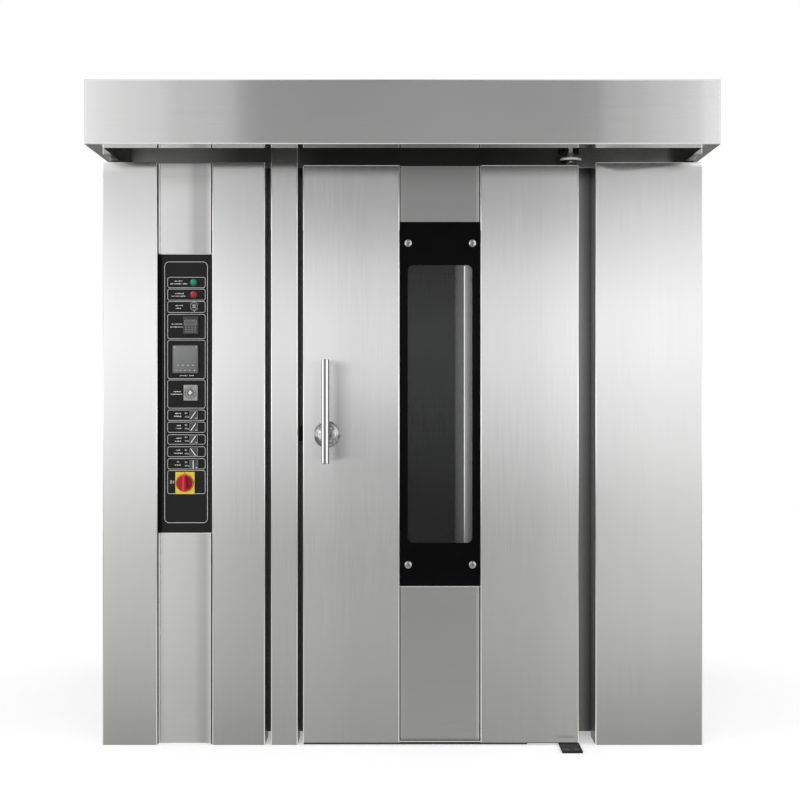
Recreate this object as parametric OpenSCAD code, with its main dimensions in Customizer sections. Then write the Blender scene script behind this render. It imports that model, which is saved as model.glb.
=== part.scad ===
// Rotating rack oven, single rack, floor standing, electrically heated.
// Millimetres, +Z up, front faces -Y. X = 0 is the middle of the body,
// Y = 0 is half way between the hood's front edge and the rear connections,
// Z = 0 is the floor. Inside the modules y is the depth behind the front
// plane of the covers; at_front() moves it to the part's own frame.

/* [Body] */
// Overall width over the side panels
body_w = 2000; // [1996:1:2020]
// Height of the front covers; the roof lies on top of it
cover_h = 1943; // [1940:1:1946]
// Depth from the front plane to the tip of the rear connections
body_d = 1350; // [1350:1:1360]
// Depth of the front covers and of the door post
cover_d = 105; // [104:1:105]
// Thickness of the outer sheet
sheet = 2; // [1.5:0.5:2]
// Outer radius of the folds in the outer sheet
fold_r = 3.5; // [2.5:0.5:4]

/* [Hood] */
// How far the hood stands out in front of the covers
hood_out = 244; // [220:2:260]
// Gap between the covers and the hood's lower edge
hood_gap = 14; // [12:1:18]
// Height of the hood
hood_h = 203; // [198:1:206]
// Width of the hood's front bottom flange
hood_lip = 66; // [50:2:70]

/* [Door] */
// Left edge of the door
door_x0 = -332; // [-333:1:-331]
// Right edge of the door
door_x1 = 588; // [586:1:590]
// Thickness of the door without its gasket
door_t = 88; // [88:1:90]
// Clearance under the door
door_z0 = 8; // [8:1:10]
// Depth of the recessed middle strip of the door
door_rec = 20; // [19:1:21]
// Hinge axis, across
hinge_x = 566; // [565:1:567]
// Hinge axis, behind the front plane
hinge_y = 44; // [43:1:45]

/* [Handle] */
// Length of the lever bar
bar_len = 340; // [320:5:350]
// Radius of the lever bar
bar_r = 13; // [11:0.5:14]
// Distance of the bar from the door
bar_out = 100; // [80:2:105]
// Share of the bar above the spindle
bar_up = 0.73; // [0.6:0.01:0.75]

/* [Window] */
// Lower edge of the outer glass
glass_z0 = 529; // [520:1:540]
// Upper edge of the outer glass
glass_z1 = 1744; // [1735:1:1750]
// Radius of the glass button caps
cap_r = 12.5; // [10:0.5:13]

/* [Control panel] */
// Lower edge of the black panel
panel_z0 = 705; // [700:1:710]
// Upper edge of the black panel
panel_z1 = 1638; // [1634:1:1642]
// Radius of the push buttons
button_r = 11; // [10:0.5:11]
// Radius of the main switch knob
switch_r = 26; // [24:0.5:27]

/* [Chamber] */
// Inner width and depth of the baking chamber
chamber = 1080; // [1078:1:1080]
// Height of the chamber ceiling above the floor
ceil_z = 1830; // [1828:1:1832]
// Slot columns in the air wall
slot_cols = 5; // [3:1:6]
// Slot rows in the air wall
slot_rows = 9; // [5:1:10]

/* [Hidden] */
front_y = -(body_d - hood_out) / 2;
hw = body_w / 2;
door_z1 = cover_h - 10;
hood_z0 = cover_h + hood_gap;
hood_z1 = hood_z0 + hood_h;
hood_back = 400;
roof_z = cover_h + 3;
back = body_d - 22;              // outer face of the rear panel
// left front cover and its recessed middle strip
cc_x1 = -458; cc_a = -817; cc_b = -635; cc_rec = 28;
post_x0 = -439; post_x1 = -349;
rc_x0 = 643;
door_a = -10; door_b = 260;
// opening in the front frame
op_x0 = -278; op_x1 = 508; op_z1 = 1800; jamb_y = 106; jamb_y1 = 170;
// chamber
ch_x0 = -425; ch_x1 = ch_x0 + chamber; ch_y0 = 172; ch_y1 = 170 + chamber;
rot_x = (ch_x0 + ch_x1) / 2; rot_y = 710;
duct_x = -883; duct_y0 = 397;
fan_x = -655; fan_y = 825;
vent_x = 440; vent_y = 1080;
hf_x = -500; hf_y = 250;
// latch
sp_x = -251; sp_z = 1035;
pf = 25.5;                       // front face of the black panel
sel_x = -699.4;
sel_z = [1099, 1059.4, 1018.1, 975.5, 934.6];
sel_a = [35, 35, 35, -35, 0];
but_x = -698.4; but_g = 1542.6; but_r = 1501.7; buz_z = 1464;
ms_x = -729; ms_z = 871.5;
tim = [-709.5, 1400.5, 51, 60];
ctl = [-727, 1286.6, 86, 94];
stt = [-709.5, 1174.2, 46, 52];

// ---- helpers -------------------------------------------------------------
module at_front() { translate([0, front_y, 0]) children(); }
module bx(x0, x1, y0, y1, z0, z1) { translate([x0, y0, z0]) cube([x1 - x0, y1 - y0, z1 - z0]); }
module cyl_x(y, z, x0, x1, r) { translate([x0, y, z]) rotate([0, 90, 0]) cylinder(h = x1 - x0, r = r, $fn = 64); }
module cyl_y(x, z, y0, y1, r) { translate([x, y0, z]) rotate([-90, 0, 0]) cylinder(h = y1 - y0, r = r, $fn = 64); }
module cyl_z(x, y, z0, z1, r) { translate([x, y, z0]) cylinder(h = z1 - z0, r = r, $fn = 64); }
module hex_z(x, y, z0, z1, af) { translate([x, y, z0]) cylinder(h = z1 - z0, r = af / 2 / cos(30), $fn = 6); }
// the waste outside a rounded upright fold at x, y; s says on which side the sheet lies
module fold_cut(x, s, z0, z1, y = 0, r = fold_r) {
  difference() {
    bx(s > 0 ? x - 1 : x - r, s > 0 ? x + r : x + 1, y - 1, y + r, z0 - 1, z1 + 1);
    cyl_z(x + s * r, y + r, z0 - 2, z1 + 2, r);
  }
}
// outline of a folded front with a recessed middle strip, seen from above
function hat_out(x0, x1, a, b, rec, dep) =
  [[x0, dep], [x0, 0], [a, 0], [a, rec], [b, rec], [b, 0], [x1, 0], [x1, dep]];
function hat_in(x0, x1, a, b, rec, dep, t) =
  [[x1 - t, dep], [x1 - t, t], [b + t, t], [b + t, rec + t], [a - t, rec + t], [a - t, t], [x0 + t, t], [x0 + t, dep]];
// a folded sheet front: the hat profile with a top and a bottom cap
module hat_pan(x0, x1, a, b, rec, dep, z0, z1, t) {
  difference() {
    union() {
      translate([0, 0, z0]) linear_extrude(z1 - z0)
        polygon(concat(hat_out(x0, x1, a, b, rec, dep), hat_in(x0, x1, a, b, rec, dep, t)));
      for (z = [z0, z1 - t]) translate([0, 0, z]) linear_extrude(t) polygon(hat_out(x0, x1, a, b, rec, dep));
    }
    for (c = [[x0, 1], [a, -1], [b, 1], [x1, -1]]) fold_cut(c[0], c[1], z0, z1);
  }
}
// shallow pan, open towards the inside, its visible face on one side of a box
module pan(x0, x1, y0, y1, z0, z1, t, open) {
  difference() {
    bx(x0, x1, y0, y1, z0, z1);
    if (open == "+x") bx(x0 + t, x1 + 1, y0 + t, y1 - t, z0 + t, z1 - t);
    if (open == "-x") bx(x0 - 1, x1 - t, y0 + t, y1 - t, z0 + t, z1 - t);
    if (open == "-y") bx(x0 + t, x1 - t, y0 - 1, y1 - t, z0 + t, z1 - t);
    if (open == "+y") bx(x0 + t, x1 - t, y0 + t, y1 + 1, z0 + t, z1 - t);
  }
}
module tube_y(x0, x1, y0, y1, z0, z1, t) {
  difference() { bx(x0, x1, y0, y1, z0, z1); bx(x0 + t, x1 - t, y0 - 1, y1 + 1, z0 + t, z1 - t); }
}
module tube_x(x0, x1, y0, y1, z0, z1, t) {
  difference() { bx(x0, x1, y0, y1, z0, z1); bx(x0 - 1, x1 + 1, y0 + t, y1 - t, z0 + t, z1 - t); }
}

// ---- carcass -------------------------------------------------------------
module base_frame() color("dimgray") at_front() {
  for (x = [-977, -512, 690, 937]) tube_y(x, x + 40, 110, 1300, 0, 40, 3);
  tube_x(-936, -513, 110, 150, 0, 40, 3);
  tube_x(-936, -513, 1255, 1295, 0, 40, 3);
  tube_x(731, 936, 110, 150, 0, 40, 3);
  tube_x(-464, 689, 1262, 1300, 0, 40, 3);
}
module chamber_floor() color("silver") at_front() {
  bx(ch_x0 - 3, ch_x1 + 3, ch_y0, ch_y1 + 3, 0, 18);
  // ramp in the doorway
  translate([op_x0 + 2, 0, 0]) rotate([90, 0, 90]) linear_extrude(op_x1 - op_x0 - 4)
    polygon([[120, 0], [120, 2], [ch_y0 + 1, 18], [ch_y0 + 1, 0]]);
}
module jamb(x0, x1, z0, z1) {
  difference() {
    bx(x0, x1, jamb_y, jamb_y1, z0, z1);
    bx(x0 + 3, x1 - 3, jamb_y + 3, jamb_y1 + 1, z0 + 3, z1 - 3);
  }
}
module door_frame() color("silver") at_front() {
  jamb(-470, op_x0, 16, cover_h - 0.4);
  jamb(op_x1, 660, 16, cover_h - 0.4);
  jamb(op_x0 + 0.4, op_x1 - 0.4, op_z1, cover_h - 0.4);
}
module diffuser_wall() color("silver") at_front() difference() {
  bx(ch_x0 - 3, ch_x0, ch_y0, ch_y1, 18.2, ceil_z);
  for (i = [0 : slot_cols - 1]) for (j = [0 : slot_rows - 1])
    bx(ch_x0 - 4, ch_x0 + 1, 470 + i * 150, 482 + i * 150, 150 + j * 145, 265 + j * 145);
  bx(ch_x0 - 4, ch_x0 + 1, 560, 1090, 1630, 1800);
}
module chamber_walls() color("gainsboro") at_front() {
  bx(ch_x1, ch_x1 + 3, ch_y0, ch_y1 - 0.2, 18.2, ceil_z);
  bx(ch_x0, ch_x1 + 3, ch_y1, ch_y1 + 3, 18.2, ceil_z);
  difference() {
    translate([0, 0, 48]) linear_extrude(ceil_z - 48) polygon([
      [ch_x0 - 3.2, duct_y0], [duct_x, duct_y0], [duct_x, ch_y1 + 3], [ch_x0 - 0.2, ch_y1 + 3],
      [ch_x0 - 0.2, ch_y1 + 0.2], [duct_x + 3, ch_y1 + 0.2], [duct_x + 3, duct_y0 + 3], [ch_x0 - 3.2, duct_y0 + 3]]);
    bx(-800, -510, duct_y0 - 1, duct_y0 + 4, 565, 1155);
    cyl_y(fan_x, 520, ch_y1 - 1, ch_y1 + 5, 9);
  }
  bx(duct_x, ch_x0 - 3.4, duct_y0, ch_y1 + 3, 44.8, 47.8);
  difference() {
    bx(duct_x + 3.5, ch_x0 - 3.5, duct_y0 + 3.5, ch_y1 - 0.5, 1600, 1603);
    cyl_z(fan_x, fan_y, 1599, 1604, 128);
  }
}
module chamber_ceiling() color("gainsboro") at_front() difference() {
  bx(duct_x, ch_x1 + 3, ch_y0, ch_y1 + 3, ceil_z + 0.2, ceil_z + 3);
  cyl_z(rot_x, rot_y, ceil_z - 1, ceil_z + 5, 24);
  cyl_z(fan_x, fan_y, ceil_z - 1, ceil_z + 5, 16);
  cyl_z(vent_x, vent_y, ceil_z - 1, ceil_z + 5, 61);
}
module insulation_batts() color("khaki") at_front() {
  difference() {
    bx(duct_x, ch_x1 - 1, 174, ch_y1 + 3, ceil_z + 5, cover_h - 18);
    cyl_z(rot_x, rot_y, ceil_z, cover_h, 34);
    cyl_z(fan_x, fan_y, ceil_z, cover_h, 30);
    cyl_z(vent_x, vent_y, ceil_z, cover_h, 64);
  }
  bx(ch_x1 + 5, ch_x1 + 30, 174, 1240, 45, cover_h - 18);
  difference() {
    bx(-958, ch_x1 + 3, ch_y1 + 6, 1306, 45, cover_h - 18);
    cyl_y(fan_x, 520, 1250, 1310, 10);
  }
  bx(-958, duct_x - 3, 398, ch_y1 + 3, 45, cover_h - 18);
  difference() {
    bx(-958, -432, 342, 386, 45, ceil_z - 2);
    bx(-830, -480, 340, 396, 535, 1185);
  }
  bx(-456, -431, 176, 340, 45, ceil_z - 2);
}

// ---- outer panels --------------------------------------------------------
pan_w = (back - cover_d - 2) / 3;
module side_panel_left() color("silver") at_front() difference() {
  for (i = [0 : 2]) pan(-hw, -hw + 20, cover_d + 2 + i * pan_w, cover_d + 2 + (i + 1) * pan_w - 2.5, 0, cover_h - 0.5, sheet, "+x");
  for (g = [330, 1480]) for (j = [0 : 8]) bx(-hw - 1, -hw + 5, 190, 410, g + j * 22, g + 7 + j * 22);
}
module side_panel_right() color("silver") at_front() {
  for (i = [0 : 2]) pan(hw - 20, hw, cover_d + 2 + i * pan_w, cover_d + 2 + (i + 1) * pan_w - 2.5, 0, cover_h - 0.5, sheet, "-x");
}
module rear_panel() color("silver") at_front() {
  w = (2 * hw - 42) / 4;
  difference() {
    for (i = [0 : 3]) pan(-hw + 21 + i * w, -hw + 21 + (i + 1) * w - 2.5, back - 18, back, 0, cover_h - 0.5, sheet, "-y");
    cyl_y(fan_x, 520, back - 30, back + 1, 9);
    cyl_y(-860, 1700, back - 30, back + 1, 20.2);
  }
  // gland for the supply cable
  difference() {
    union() {
      cyl_y(-860, 1700, back - 12, back + 12, 20);
      translate([-860, back + 0.5, 1700]) rotate([-90, 0, 0]) cylinder(h = 9, r = 27, $fn = 6);
    }
    cyl_y(-860, 1700, back - 13, back + 13, 13);
  }
}
module roof_panel() color("silver") at_front() difference() {
  bx(-hw, hw, cover_d + 2, back, cover_h, roof_z);
  cyl_z(rot_x, rot_y, cover_h - 1, roof_z + 1, 24);
  cyl_z(fan_x, fan_y, cover_h - 1, roof_z + 1, 20);
  cyl_z(vent_x, vent_y, cover_h - 1, roof_z + 1, 61);
}
module control_cover() color("lightgray") at_front() difference() {
  hat_pan(-hw, cc_x1, cc_a, cc_b, cc_rec, cover_d, 0, cover_h, sheet);
  bx(-810, -642, cc_rec - 1, cc_rec + 5, panel_z0 + 7, panel_z1 - 6);
}
module control_infill() color("gainsboro") at_front() {
  bx(cc_a + 0.4, cc_b - 0.4, cc_rec - 3, cc_rec, panel_z1 + 2, cover_h);
  bx(cc_a + 0.4, cc_b - 0.4, cc_rec - 3, cc_rec, 0, panel_z0 - 1);
}
module control_panel() color([0.22, 0.22, 0.23]) at_front() difference() {
  bx(cc_a + 0.5, cc_b - 0.5, pf, cc_rec, panel_z0, panel_z1);
  for (z = [but_g, but_r]) cyl_y(but_x, z, pf - 1, 30, 8.5);
  for (z = sel_z) cyl_y(sel_x, z, pf - 1, 30, 6.5);
  cyl_y(ms_x, ms_z, pf - 1, 30, 8);
  for (m = [tim, ctl, stt]) bx(m[0] - m[2] / 2 + 3, m[0] + m[2] / 2 - 3, pf - 1, 30, m[1] - m[3] / 2 + 4, m[1] + m[3] / 2 - 4);
}
module door_post() color("lightgray") at_front() {
  difference() {
    bx(post_x0, post_x1, 0, cover_d - 2, 0, hood_z1 - 40);
    bx(post_x0 + sheet, post_x1 - sheet, sheet, cover_d, sheet, hood_z1 - 40 - sheet);
    fold_cut(post_x0, 1, 0, hood_z1 - 40);
    fold_cut(post_x1, -1, 0, hood_z1 - 40);
  }
}
module right_cover() color("lightgray") at_front() difference() {
  pan(rc_x0, hw, 0, cover_d, 0, cover_h - 3, sheet, "+y");
  fold_cut(rc_x0, 1, 0, cover_h);
  fold_cut(hw, -1, 0, cover_h);
}
module canopy_shell() color("silver") at_front() {
  difference() {
    union() {
      bx(-hw, hw, -hood_out, -hood_out + sheet, hood_z0, hood_z1);
      bx(-hw, hw, -hood_out, -hood_out + hood_lip, hood_z0, hood_z0 + sheet);
      for (s = [-1, 1]) {
        x0 = s < 0 ? -hw : hw - sheet;
        bx(x0, x0 + sheet, -hood_out, hood_back, hood_z0, hood_z1);
        bx(x0, x0 + sheet, cover_d + 6, hood_back, roof_z + 0.2, hood_z1);
        xf = s < 0 ? -hw : hw - 45;
        bx(xf, xf + 45, -hood_out, cover_d + 6, hood_z0, hood_z0 + sheet);
      }
      bx(-hw, hw, -hood_out, hood_back, hood_z1 - sheet, hood_z1);
      bx(-hw, hw, hood_back - sheet, hood_back, roof_z + 0.2, hood_z1);
      // foot flange on the roof
      bx(-hw + 30, hw - 30, hood_back, hood_back + 30, roof_z + 0.2, roof_z + 2.2);
    }
    cyl_z(hf_x, hf_y, hood_z1 - 5, hood_z1 + 5, 124.6);
    // rounded folds: the two upright corners, the front's lower and upper edge
    fold_cut(-hw, 1, hood_z0, hood_z1, -hood_out, fold_r + 1);
    fold_cut(hw, -1, hood_z0, hood_z1, -hood_out, fold_r + 1);
    for (k = [0, 1]) difference() {
      r = fold_r; zc = k == 0 ? hood_z0 + r : hood_z1 - r;
      bx(-hw - 1, hw + 1, -hood_out - 1, -hood_out + r, k == 0 ? hood_z0 - 1 : zc, k == 0 ? zc : hood_z1 + 1);
      cyl_x(-hood_out + r, zc, -hw - 2, hw + 2, r);
    }
  }
}
module canopy_fascia() color("gray") at_front() {
  bx(-925, 925, jamb_y - 2, jamb_y - 0.2, cover_h + 0.3, hood_z1 - 85);
}

// ---- hood fan and steam vent ---------------------------------------------
module ring_z(x, y, z0, z1, ro, ri) { difference() { cyl_z(x, y, z0, z1, ro); cyl_z(x, y, z0 - 1, z1 + 1, ri); } }
module hood_fan_casing() color("silver") at_front() {
  z = hood_z1;
  // collar on the roof of the hood, the ring below it, and the motor on its arms
  difference() {
    union() { cyl_z(hf_x, hf_y, z, z + 3, 145); cyl_z(hf_x, hf_y, z, z + 80, 125); }
    cyl_z(hf_x, hf_y, z - 1, z + 81, 122);
  }
  ring_z(hf_x, hf_y, z - 60, z - 0.2, 124, 122);
  difference() {
    union() {
      cyl_z(hf_x, hf_y, z - 140, z - 54, 42);
      for (a = [0, 120, 240]) translate([hf_x, hf_y, 0]) rotate([0, 0, a]) bx(30, 121.6, -6, 6, z - 60, z - 54);
    }
    cyl_z(hf_x, hf_y, z - 80, z - 50, 5.1);
  }
}
module hood_impeller() color("dimgray") at_front() translate([hf_x, hf_y, hood_z1]) {
  cylinder(h = 28, r = 28, $fn = 64);
  translate([0, 0, -52]) cylinder(h = 53, r = 18, $fn = 64);
  translate([0, 0, -75]) cylinder(h = 24, r = 5, $fn = 48);
  for (i = [0 : 5]) rotate([0, 0, i * 60]) translate([24, 0, 14]) rotate([32, 0, 0]) translate([0, -22, -1.2]) cube([92, 44, 2.4]);
}
vent_d = 2045;
module steam_vent() color("silver") at_front() difference() {
  union() {
    cyl_z(vent_x, vent_y, ceil_z - 2, 2101, 60);
    cyl_z(vent_x, vent_y, 2100, 2180, 62);
    cyl_z(vent_x, vent_y, roof_z, roof_z + 4, 90);
  }
  cyl_z(vent_x, vent_y, ceil_z - 3, 2181, 58);
  cyl_x(vent_y, vent_d, vent_x - 70, vent_x + 70, 4.1);
}
module damper_flap() color("gray") at_front() {
  cyl_z(vent_x, vent_y, vent_d - 1, vent_d + 1, 56.5);
  cyl_x(vent_y, vent_d, vent_x - 74, vent_x + 92, 4);
  cyl_x(vent_y, vent_d, vent_x + 84, vent_x + 88, 10);
  bx(vent_x + 84, vent_x + 88, vent_y - 7, vent_y + 7, vent_d - 52, vent_d);
}

// ---- inside --------------------------------------------------------------
module electrical_tray() color("orange") at_front() {
  bx(-940, -500, 300, 303, 300, 1750);
  for (z = [1640, 1440, 1240]) {
    bx(-920, -520, 292, 299.8, z - 17.5, z + 17.5);
    for (i = [0 : 6]) bx(-910 + i * 55, -865 + i * 55, 215, 291.8, z - 40, z + 40);
  }
  bx(-915, -800, 180, 299.8, 900, 1010);       // transformer
  bx(-760, -540, 240, 299.8, 880, 1020);       // relay block
  bx(-915, -525, 262, 299.8, 700, 750);        // terminal strip
}
module heater_elements() color("dimgray") at_front() {
  bx(-820, -490, 389, 396.8, 545, 1175);
  for (x = [-760, -655, -550]) for (z = [600, 750, 900, 1050]) {
    for (k = [0, 80]) cyl_y(x, z + k, 370, 1150, 6);
    translate([x, 1150, z + 40]) rotate([0, 90, 0])
      rotate_extrude(angle = 180, $fn = 48) translate([40, 0]) circle(r = 6, $fn = 24);
  }
}
module steam_generator() color("slategray") at_front() {
  for (y = [470, 1170]) bx(-860, -450, y, y + 5, 60, 480);
  for (x = [-760, -560]) for (j = [0 : 4])
    translate([x + (j % 2 == 0 ? 18 : -18), 474, 100 + j * 72]) rotate([-90, 0, 0]) linear_extrude(697)
      polygon([[-60, 0], [-56, 0], [-50, 26], [50, 26], [56, 0], [60, 0], [54, 30], [-54, 30]]);
  // spray pipe and its inlet nipple
  cyl_y(fan_x, 520, 480, back + 1, 7.5);
  cyl_y(fan_x, 520, back + 0.5, body_d, 10.5);
}
module fan_motor() color("steelblue") at_front() difference() {
  union() {
    bx(fan_x - 105, fan_x + 105, fan_y - 105, fan_y + 105, roof_z, roof_z + 8);
    cyl_z(fan_x, fan_y, roof_z + 7, roof_z + 24, 95);
    cyl_z(fan_x, fan_y, roof_z + 23, roof_z + 190, 78);
    for (i = [0 : 23]) translate([fan_x, fan_y, 0]) rotate([0, 0, i * 15]) bx(74, 86, -1.5, 1.5, roof_z + 30, roof_z + 182);
    cyl_z(fan_x, fan_y, roof_z + 189, roof_z + 232, 86);
    bx(fan_x + 70, fan_x + 122, fan_y - 38, fan_y + 38, roof_z + 70, roof_z + 150);
  }
  cyl_z(fan_x, fan_y, roof_z - 1, roof_z + 60, 12.6);
}
module fan_impeller() color("darkgray") at_front() translate([fan_x, fan_y, 0]) {
  cyl_z(0, 0, 1690, roof_z + 55, 12.5);
  cyl_z(0, 0, 1690, 1750, 34);
  cyl_z(0, 0, 1746, 1750, 172);
  ring_z(0, 0, 1640, 1644, 172, 126);
  for (i = [0 : 9]) rotate([0, 0, i * 36]) translate([92, 0, 1643]) rotate([0, 0, 38]) cube([88, 3, 104]);
}
module rotor_bearing() color("darkslategray") at_front() difference() {
  union() {
    bx(rot_x - 65, rot_x + 65, rot_y - 65, rot_y + 65, roof_z, roof_z + 16);
    cyl_z(rot_x, rot_y, roof_z + 15, roof_z + 44, 46);
    for (sx = [-1, 1]) for (sy = [-1, 1]) hex_z(rot_x + sx * 48, rot_y + sy * 48, roof_z + 15, roof_z + 23, 17);
  }
  cyl_z(rot_x, rot_y, roof_z - 1, roof_z + 50, 20.06);
}
module gear_motor() color("steelblue") at_front() {
  z = roof_z + 82;
  // stand, then the worm gearbox and its motor
  difference() {
    union() {
      for (s = [-1, 1]) bx(rot_x + s * 100 - 4, rot_x + s * 100 + 4, rot_y - 75, rot_y + 75, roof_z, z - 1);
      for (s = [-1, 1]) bx(rot_x + (s < 0 ? -140 : 100), rot_x + (s < 0 ? -100 : 140), rot_y - 75, rot_y + 75, roof_z, roof_z + 5);
      bx(rot_x - 104, rot_x + 104, rot_y - 75, rot_y + 75, z - 8, z);
    }
    cyl_z(rot_x, rot_y, z - 20, z + 20, 26);
  }
  difference() {
    union() {
      bx(rot_x - 80, rot_x + 80, rot_y - 70, rot_y + 70, z + 0.2, z + 118);
      cyl_z(rot_x, rot_y, z + 117, z + 126, 42);
      cyl_x(rot_y, z + 60, rot_x + 79, rot_x + 96, 75);
      cyl_x(rot_y, z + 60, rot_x + 95, rot_x + 260, 58);
      for (i = [0 : 19]) translate([rot_x, rot_y, z + 60]) rotate([i * 18, 0, 0]) bx(100, 254, -1.5, 1.5, 55, 65);
      cyl_x(rot_y, z + 60, rot_x + 259, rot_x + 300, 65);
      bx(rot_x + 120, rot_x + 200, rot_y - 34, rot_y + 34, z + 100, z + 146);
    }
    cyl_z(rot_x, rot_y, z - 1, z + 140, 20.06);
  }
}
module rotor_shaft() color("silver") at_front() {
  cyl_z(rot_x, rot_y, 1772, roof_z + 226, 20);
  cyl_z(rot_x, rot_y, roof_z + 44.5, roof_z + 60, 32);
  hex_z(rot_x, rot_y, roof_z + 210, roof_z + 224, 50);
}
module rack_hook() color("gray") at_front() translate([rot_x, rot_y, 0]) {
  cyl_z(0, 0, 1750, 1772, 60);
  for (a = [45 : 90 : 359]) rotate([0, 0, a]) hex_z(46, 0, 1771, 1779, 13);
  difference() {
    bx(-160, 160, -210, 210, 1744, 1751);
    for (sx = [-1, 1]) for (sy = [-1, 1]) bx(sx * 85 - 40, sx * 85 + 40, sy * 140 - 45, sy * 140 + 45, 1740, 1755);
  }
  for (s = [-1, 1]) {
    bx(s > 0 ? 154 : -160, s > 0 ? 160 : -154, -210, 210, 1684, 1745);
    bx(s > 0 ? 112 : -160, s > 0 ? 160 : -112, -210, 210, 1678, 1684);
    // lead-in ramp for the rack's head bar
    translate([s > 0 ? 112 : -160, 0, 0]) rotate([90, 0, 90]) linear_extrude(48)
      polygon([[-209, 1678], [-209, 1684], [-285, 1662], [-285, 1656]]);
    bx(s > 0 ? 154 : -160, s > 0 ? 160 : -154, 204, 210, 1678, 1745);
  }
  bx(-112, 112, 204, 210, 1700, 1745);         // rear stop
}

// ---- control panel -------------------------------------------------------
module instrument(m, deep) {
  bx(m[0] - m[2] / 2, m[0] + m[2] / 2, pf - 8, pf, m[1] - m[3] / 2, m[1] + m[3] / 2);
  bx(m[0] - m[2] / 2 + 4, m[0] + m[2] / 2 - 4, pf - 0.5, pf + deep, m[1] - m[3] / 2 + 5, m[1] + m[3] / 2 - 5);
}
module panel_instruments() color("dimgray") at_front() {
  instrument(tim, 66);
  instrument(ctl, 60);
  difference() {
    instrument(stt, 50);
    cyl_y(stt[0], stt[1], pf - 9, pf + 12, 4.2);
  }
}
module steam_timer_knob() color("lightgray") at_front() {
  cyl_y(stt[0], stt[1], pf - 17, pf - 8.3, 9);
  cyl_y(stt[0], stt[1], pf - 9, pf + 10, 4);
  bx(stt[0] - 1.4, stt[0] + 1.4, pf - 18.5, pf - 16.5, stt[1] - 7, stt[1] + 8.5);
}
module switch_bezels() color([0.3, 0.3, 0.31]) at_front() {
  for (z = [but_g, but_r]) {
    difference() { cyl_y(but_x, z, pf - 4.5, pf, 14); cyl_y(but_x, z, pf - 5, pf + 1, button_r + 0.4); }
    bx(but_x - 15, but_x + 15, pf + 32, pf + 62, z - 15, z + 15);
  }
  for (z = sel_z) {
    difference() { bx(sel_x - 13.5, sel_x + 13.5, pf - 4.5, pf, z - 13.5, z + 13.5); cyl_y(sel_x, z, pf - 5, pf + 1, 11.4); }
    difference() { bx(sel_x - 15, sel_x + 15, pf + 10, pf + 60, z - 14, z + 14); cyl_y(sel_x, z, pf + 9, pf + 26, 5.3); }
  }
  // buzzer: a round grille
  difference() {
    cyl_y(but_x, buz_z, pf - 5, pf, 12.5);
    for (x = [-6, 0, 6]) bx(but_x + x - 1.2, but_x + x + 1.2, pf - 6, pf - 2, buz_z - 6, buz_z + 6);
  }
}
module push_button(z) at_front() {
  cyl_y(but_x, z, pf - 9, pf - 4.7, button_r);
  translate([but_x, pf - 8.8, z]) rotate([90, 0, 0]) rotate_extrude($fn = 64)
    polygon([[0, 0], [button_r, 0], [button_r - 0.5, 0.8], [button_r - 2.5, 2], [button_r - 5.5, 2.8], [0, 3.2]]);
  cyl_y(but_x, z, pf - 5, pf + 26, 7.5);
}
module green_button() color([0.05, 0.6, 0.35]) push_button(but_g);
module red_button() color([0.8, 0.12, 0.2]) push_button(but_r);
module selector(i) color([0.35, 0.35, 0.36]) at_front() translate([sel_x, 0, sel_z[i]]) rotate([0, sel_a[i], 0]) {
  cyl_y(0, 0, pf - 7, pf - 0.4, 11);
  bx(-3.6, 3.6, pf - 15, pf - 6.9, -10.4, 10.4);
  cyl_y(0, 0, pf - 1, pf + 22, 5);
}
module selector_a() selector(0);
module selector_b() selector(1);
module selector_c() selector(2);
module selector_d() selector(3);
module selector_e() selector(4);
module main_switch_plate() color([0.93, 0.78, 0.12]) at_front() {
  difference() {
    bx(ms_x - 32, ms_x + 32, pf - 4, pf, ms_z - 37, ms_z + 37);
    cyl_y(ms_x, ms_z, pf - 5, pf + 1, 8);
  }
  difference() {
    bx(ms_x - 26, ms_x + 26, pf + 6, pf + 58, ms_z - 30, ms_z + 30);
    cyl_y(ms_x, ms_z, pf + 5, pf + 27, 6.6);
  }
}
module main_switch_knob() color([0.75, 0.08, 0.12]) at_front() {
  cyl_y(ms_x, ms_z, pf - 10, pf - 4.3, switch_r);
  translate([ms_x, pf - 9.8, ms_z]) rotate([90, 0, 0]) linear_extrude(15)
    polygon([[-5, 24], [5, 24], [6, 8], [9, -18], [5.5, -25.4], [-5.5, -25.4], [-9, -18], [-6, 8]]);
  cyl_y(ms_x, ms_z, pf - 5, pf + 25, 6.4);
}

// ---- hinge, keeper -------------------------------------------------------
module hinge_pin_top() color("silver") at_front() {
  cyl_z(hinge_x, hinge_y, 1915, 2072, 6);
  cyl_z(hinge_x, hinge_y, 1953, 1962, 36);
  cyl_z(hinge_x, hinge_y, 1961, 1966, 20);
  hex_z(hinge_x, hinge_y, 1970, 1981, 19);
  hex_z(hinge_x, hinge_y, 2034, 2045.5, 19);
  hex_z(hinge_x, hinge_y, 2054.5, 2066, 19);
  difference() {
    union() {
      bx(531, 601, 14, 103.5, 2046, 2054);
      bx(531, 601, 95.5, 103.5, 1985, 2054);
    }
    cyl_z(hinge_x, hinge_y, 2040, 2060, 6.3);
  }
}
module hinge_bracket() color([0.15, 0.15, 0.15]) at_front() {
  difference() {
    bx(521, 588, -95, 75, 0, 6);
    for (x = [537.5, 571.5]) cyl_z(x, -75, -1, 7, 5.5);
  }
  cyl_z(hinge_x, hinge_y, 5, 9, 18);
  cyl_z(hinge_x, hinge_y, 8, 32, 10);
}
module keeper_spring() color("gray") at_front()
  translate([post_x1, 0, sp_z - 24]) linear_extrude(48)
    polygon([[0.05, 4], [0.05, 27], [1.5, 31], [11, 39], [11.4, 41], [5, 43.4], [7, 43.4], [13.2, 41.2], [12.6, 37.8], [3.5, 30], [2.05, 26], [2.05, 4]]);

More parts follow.
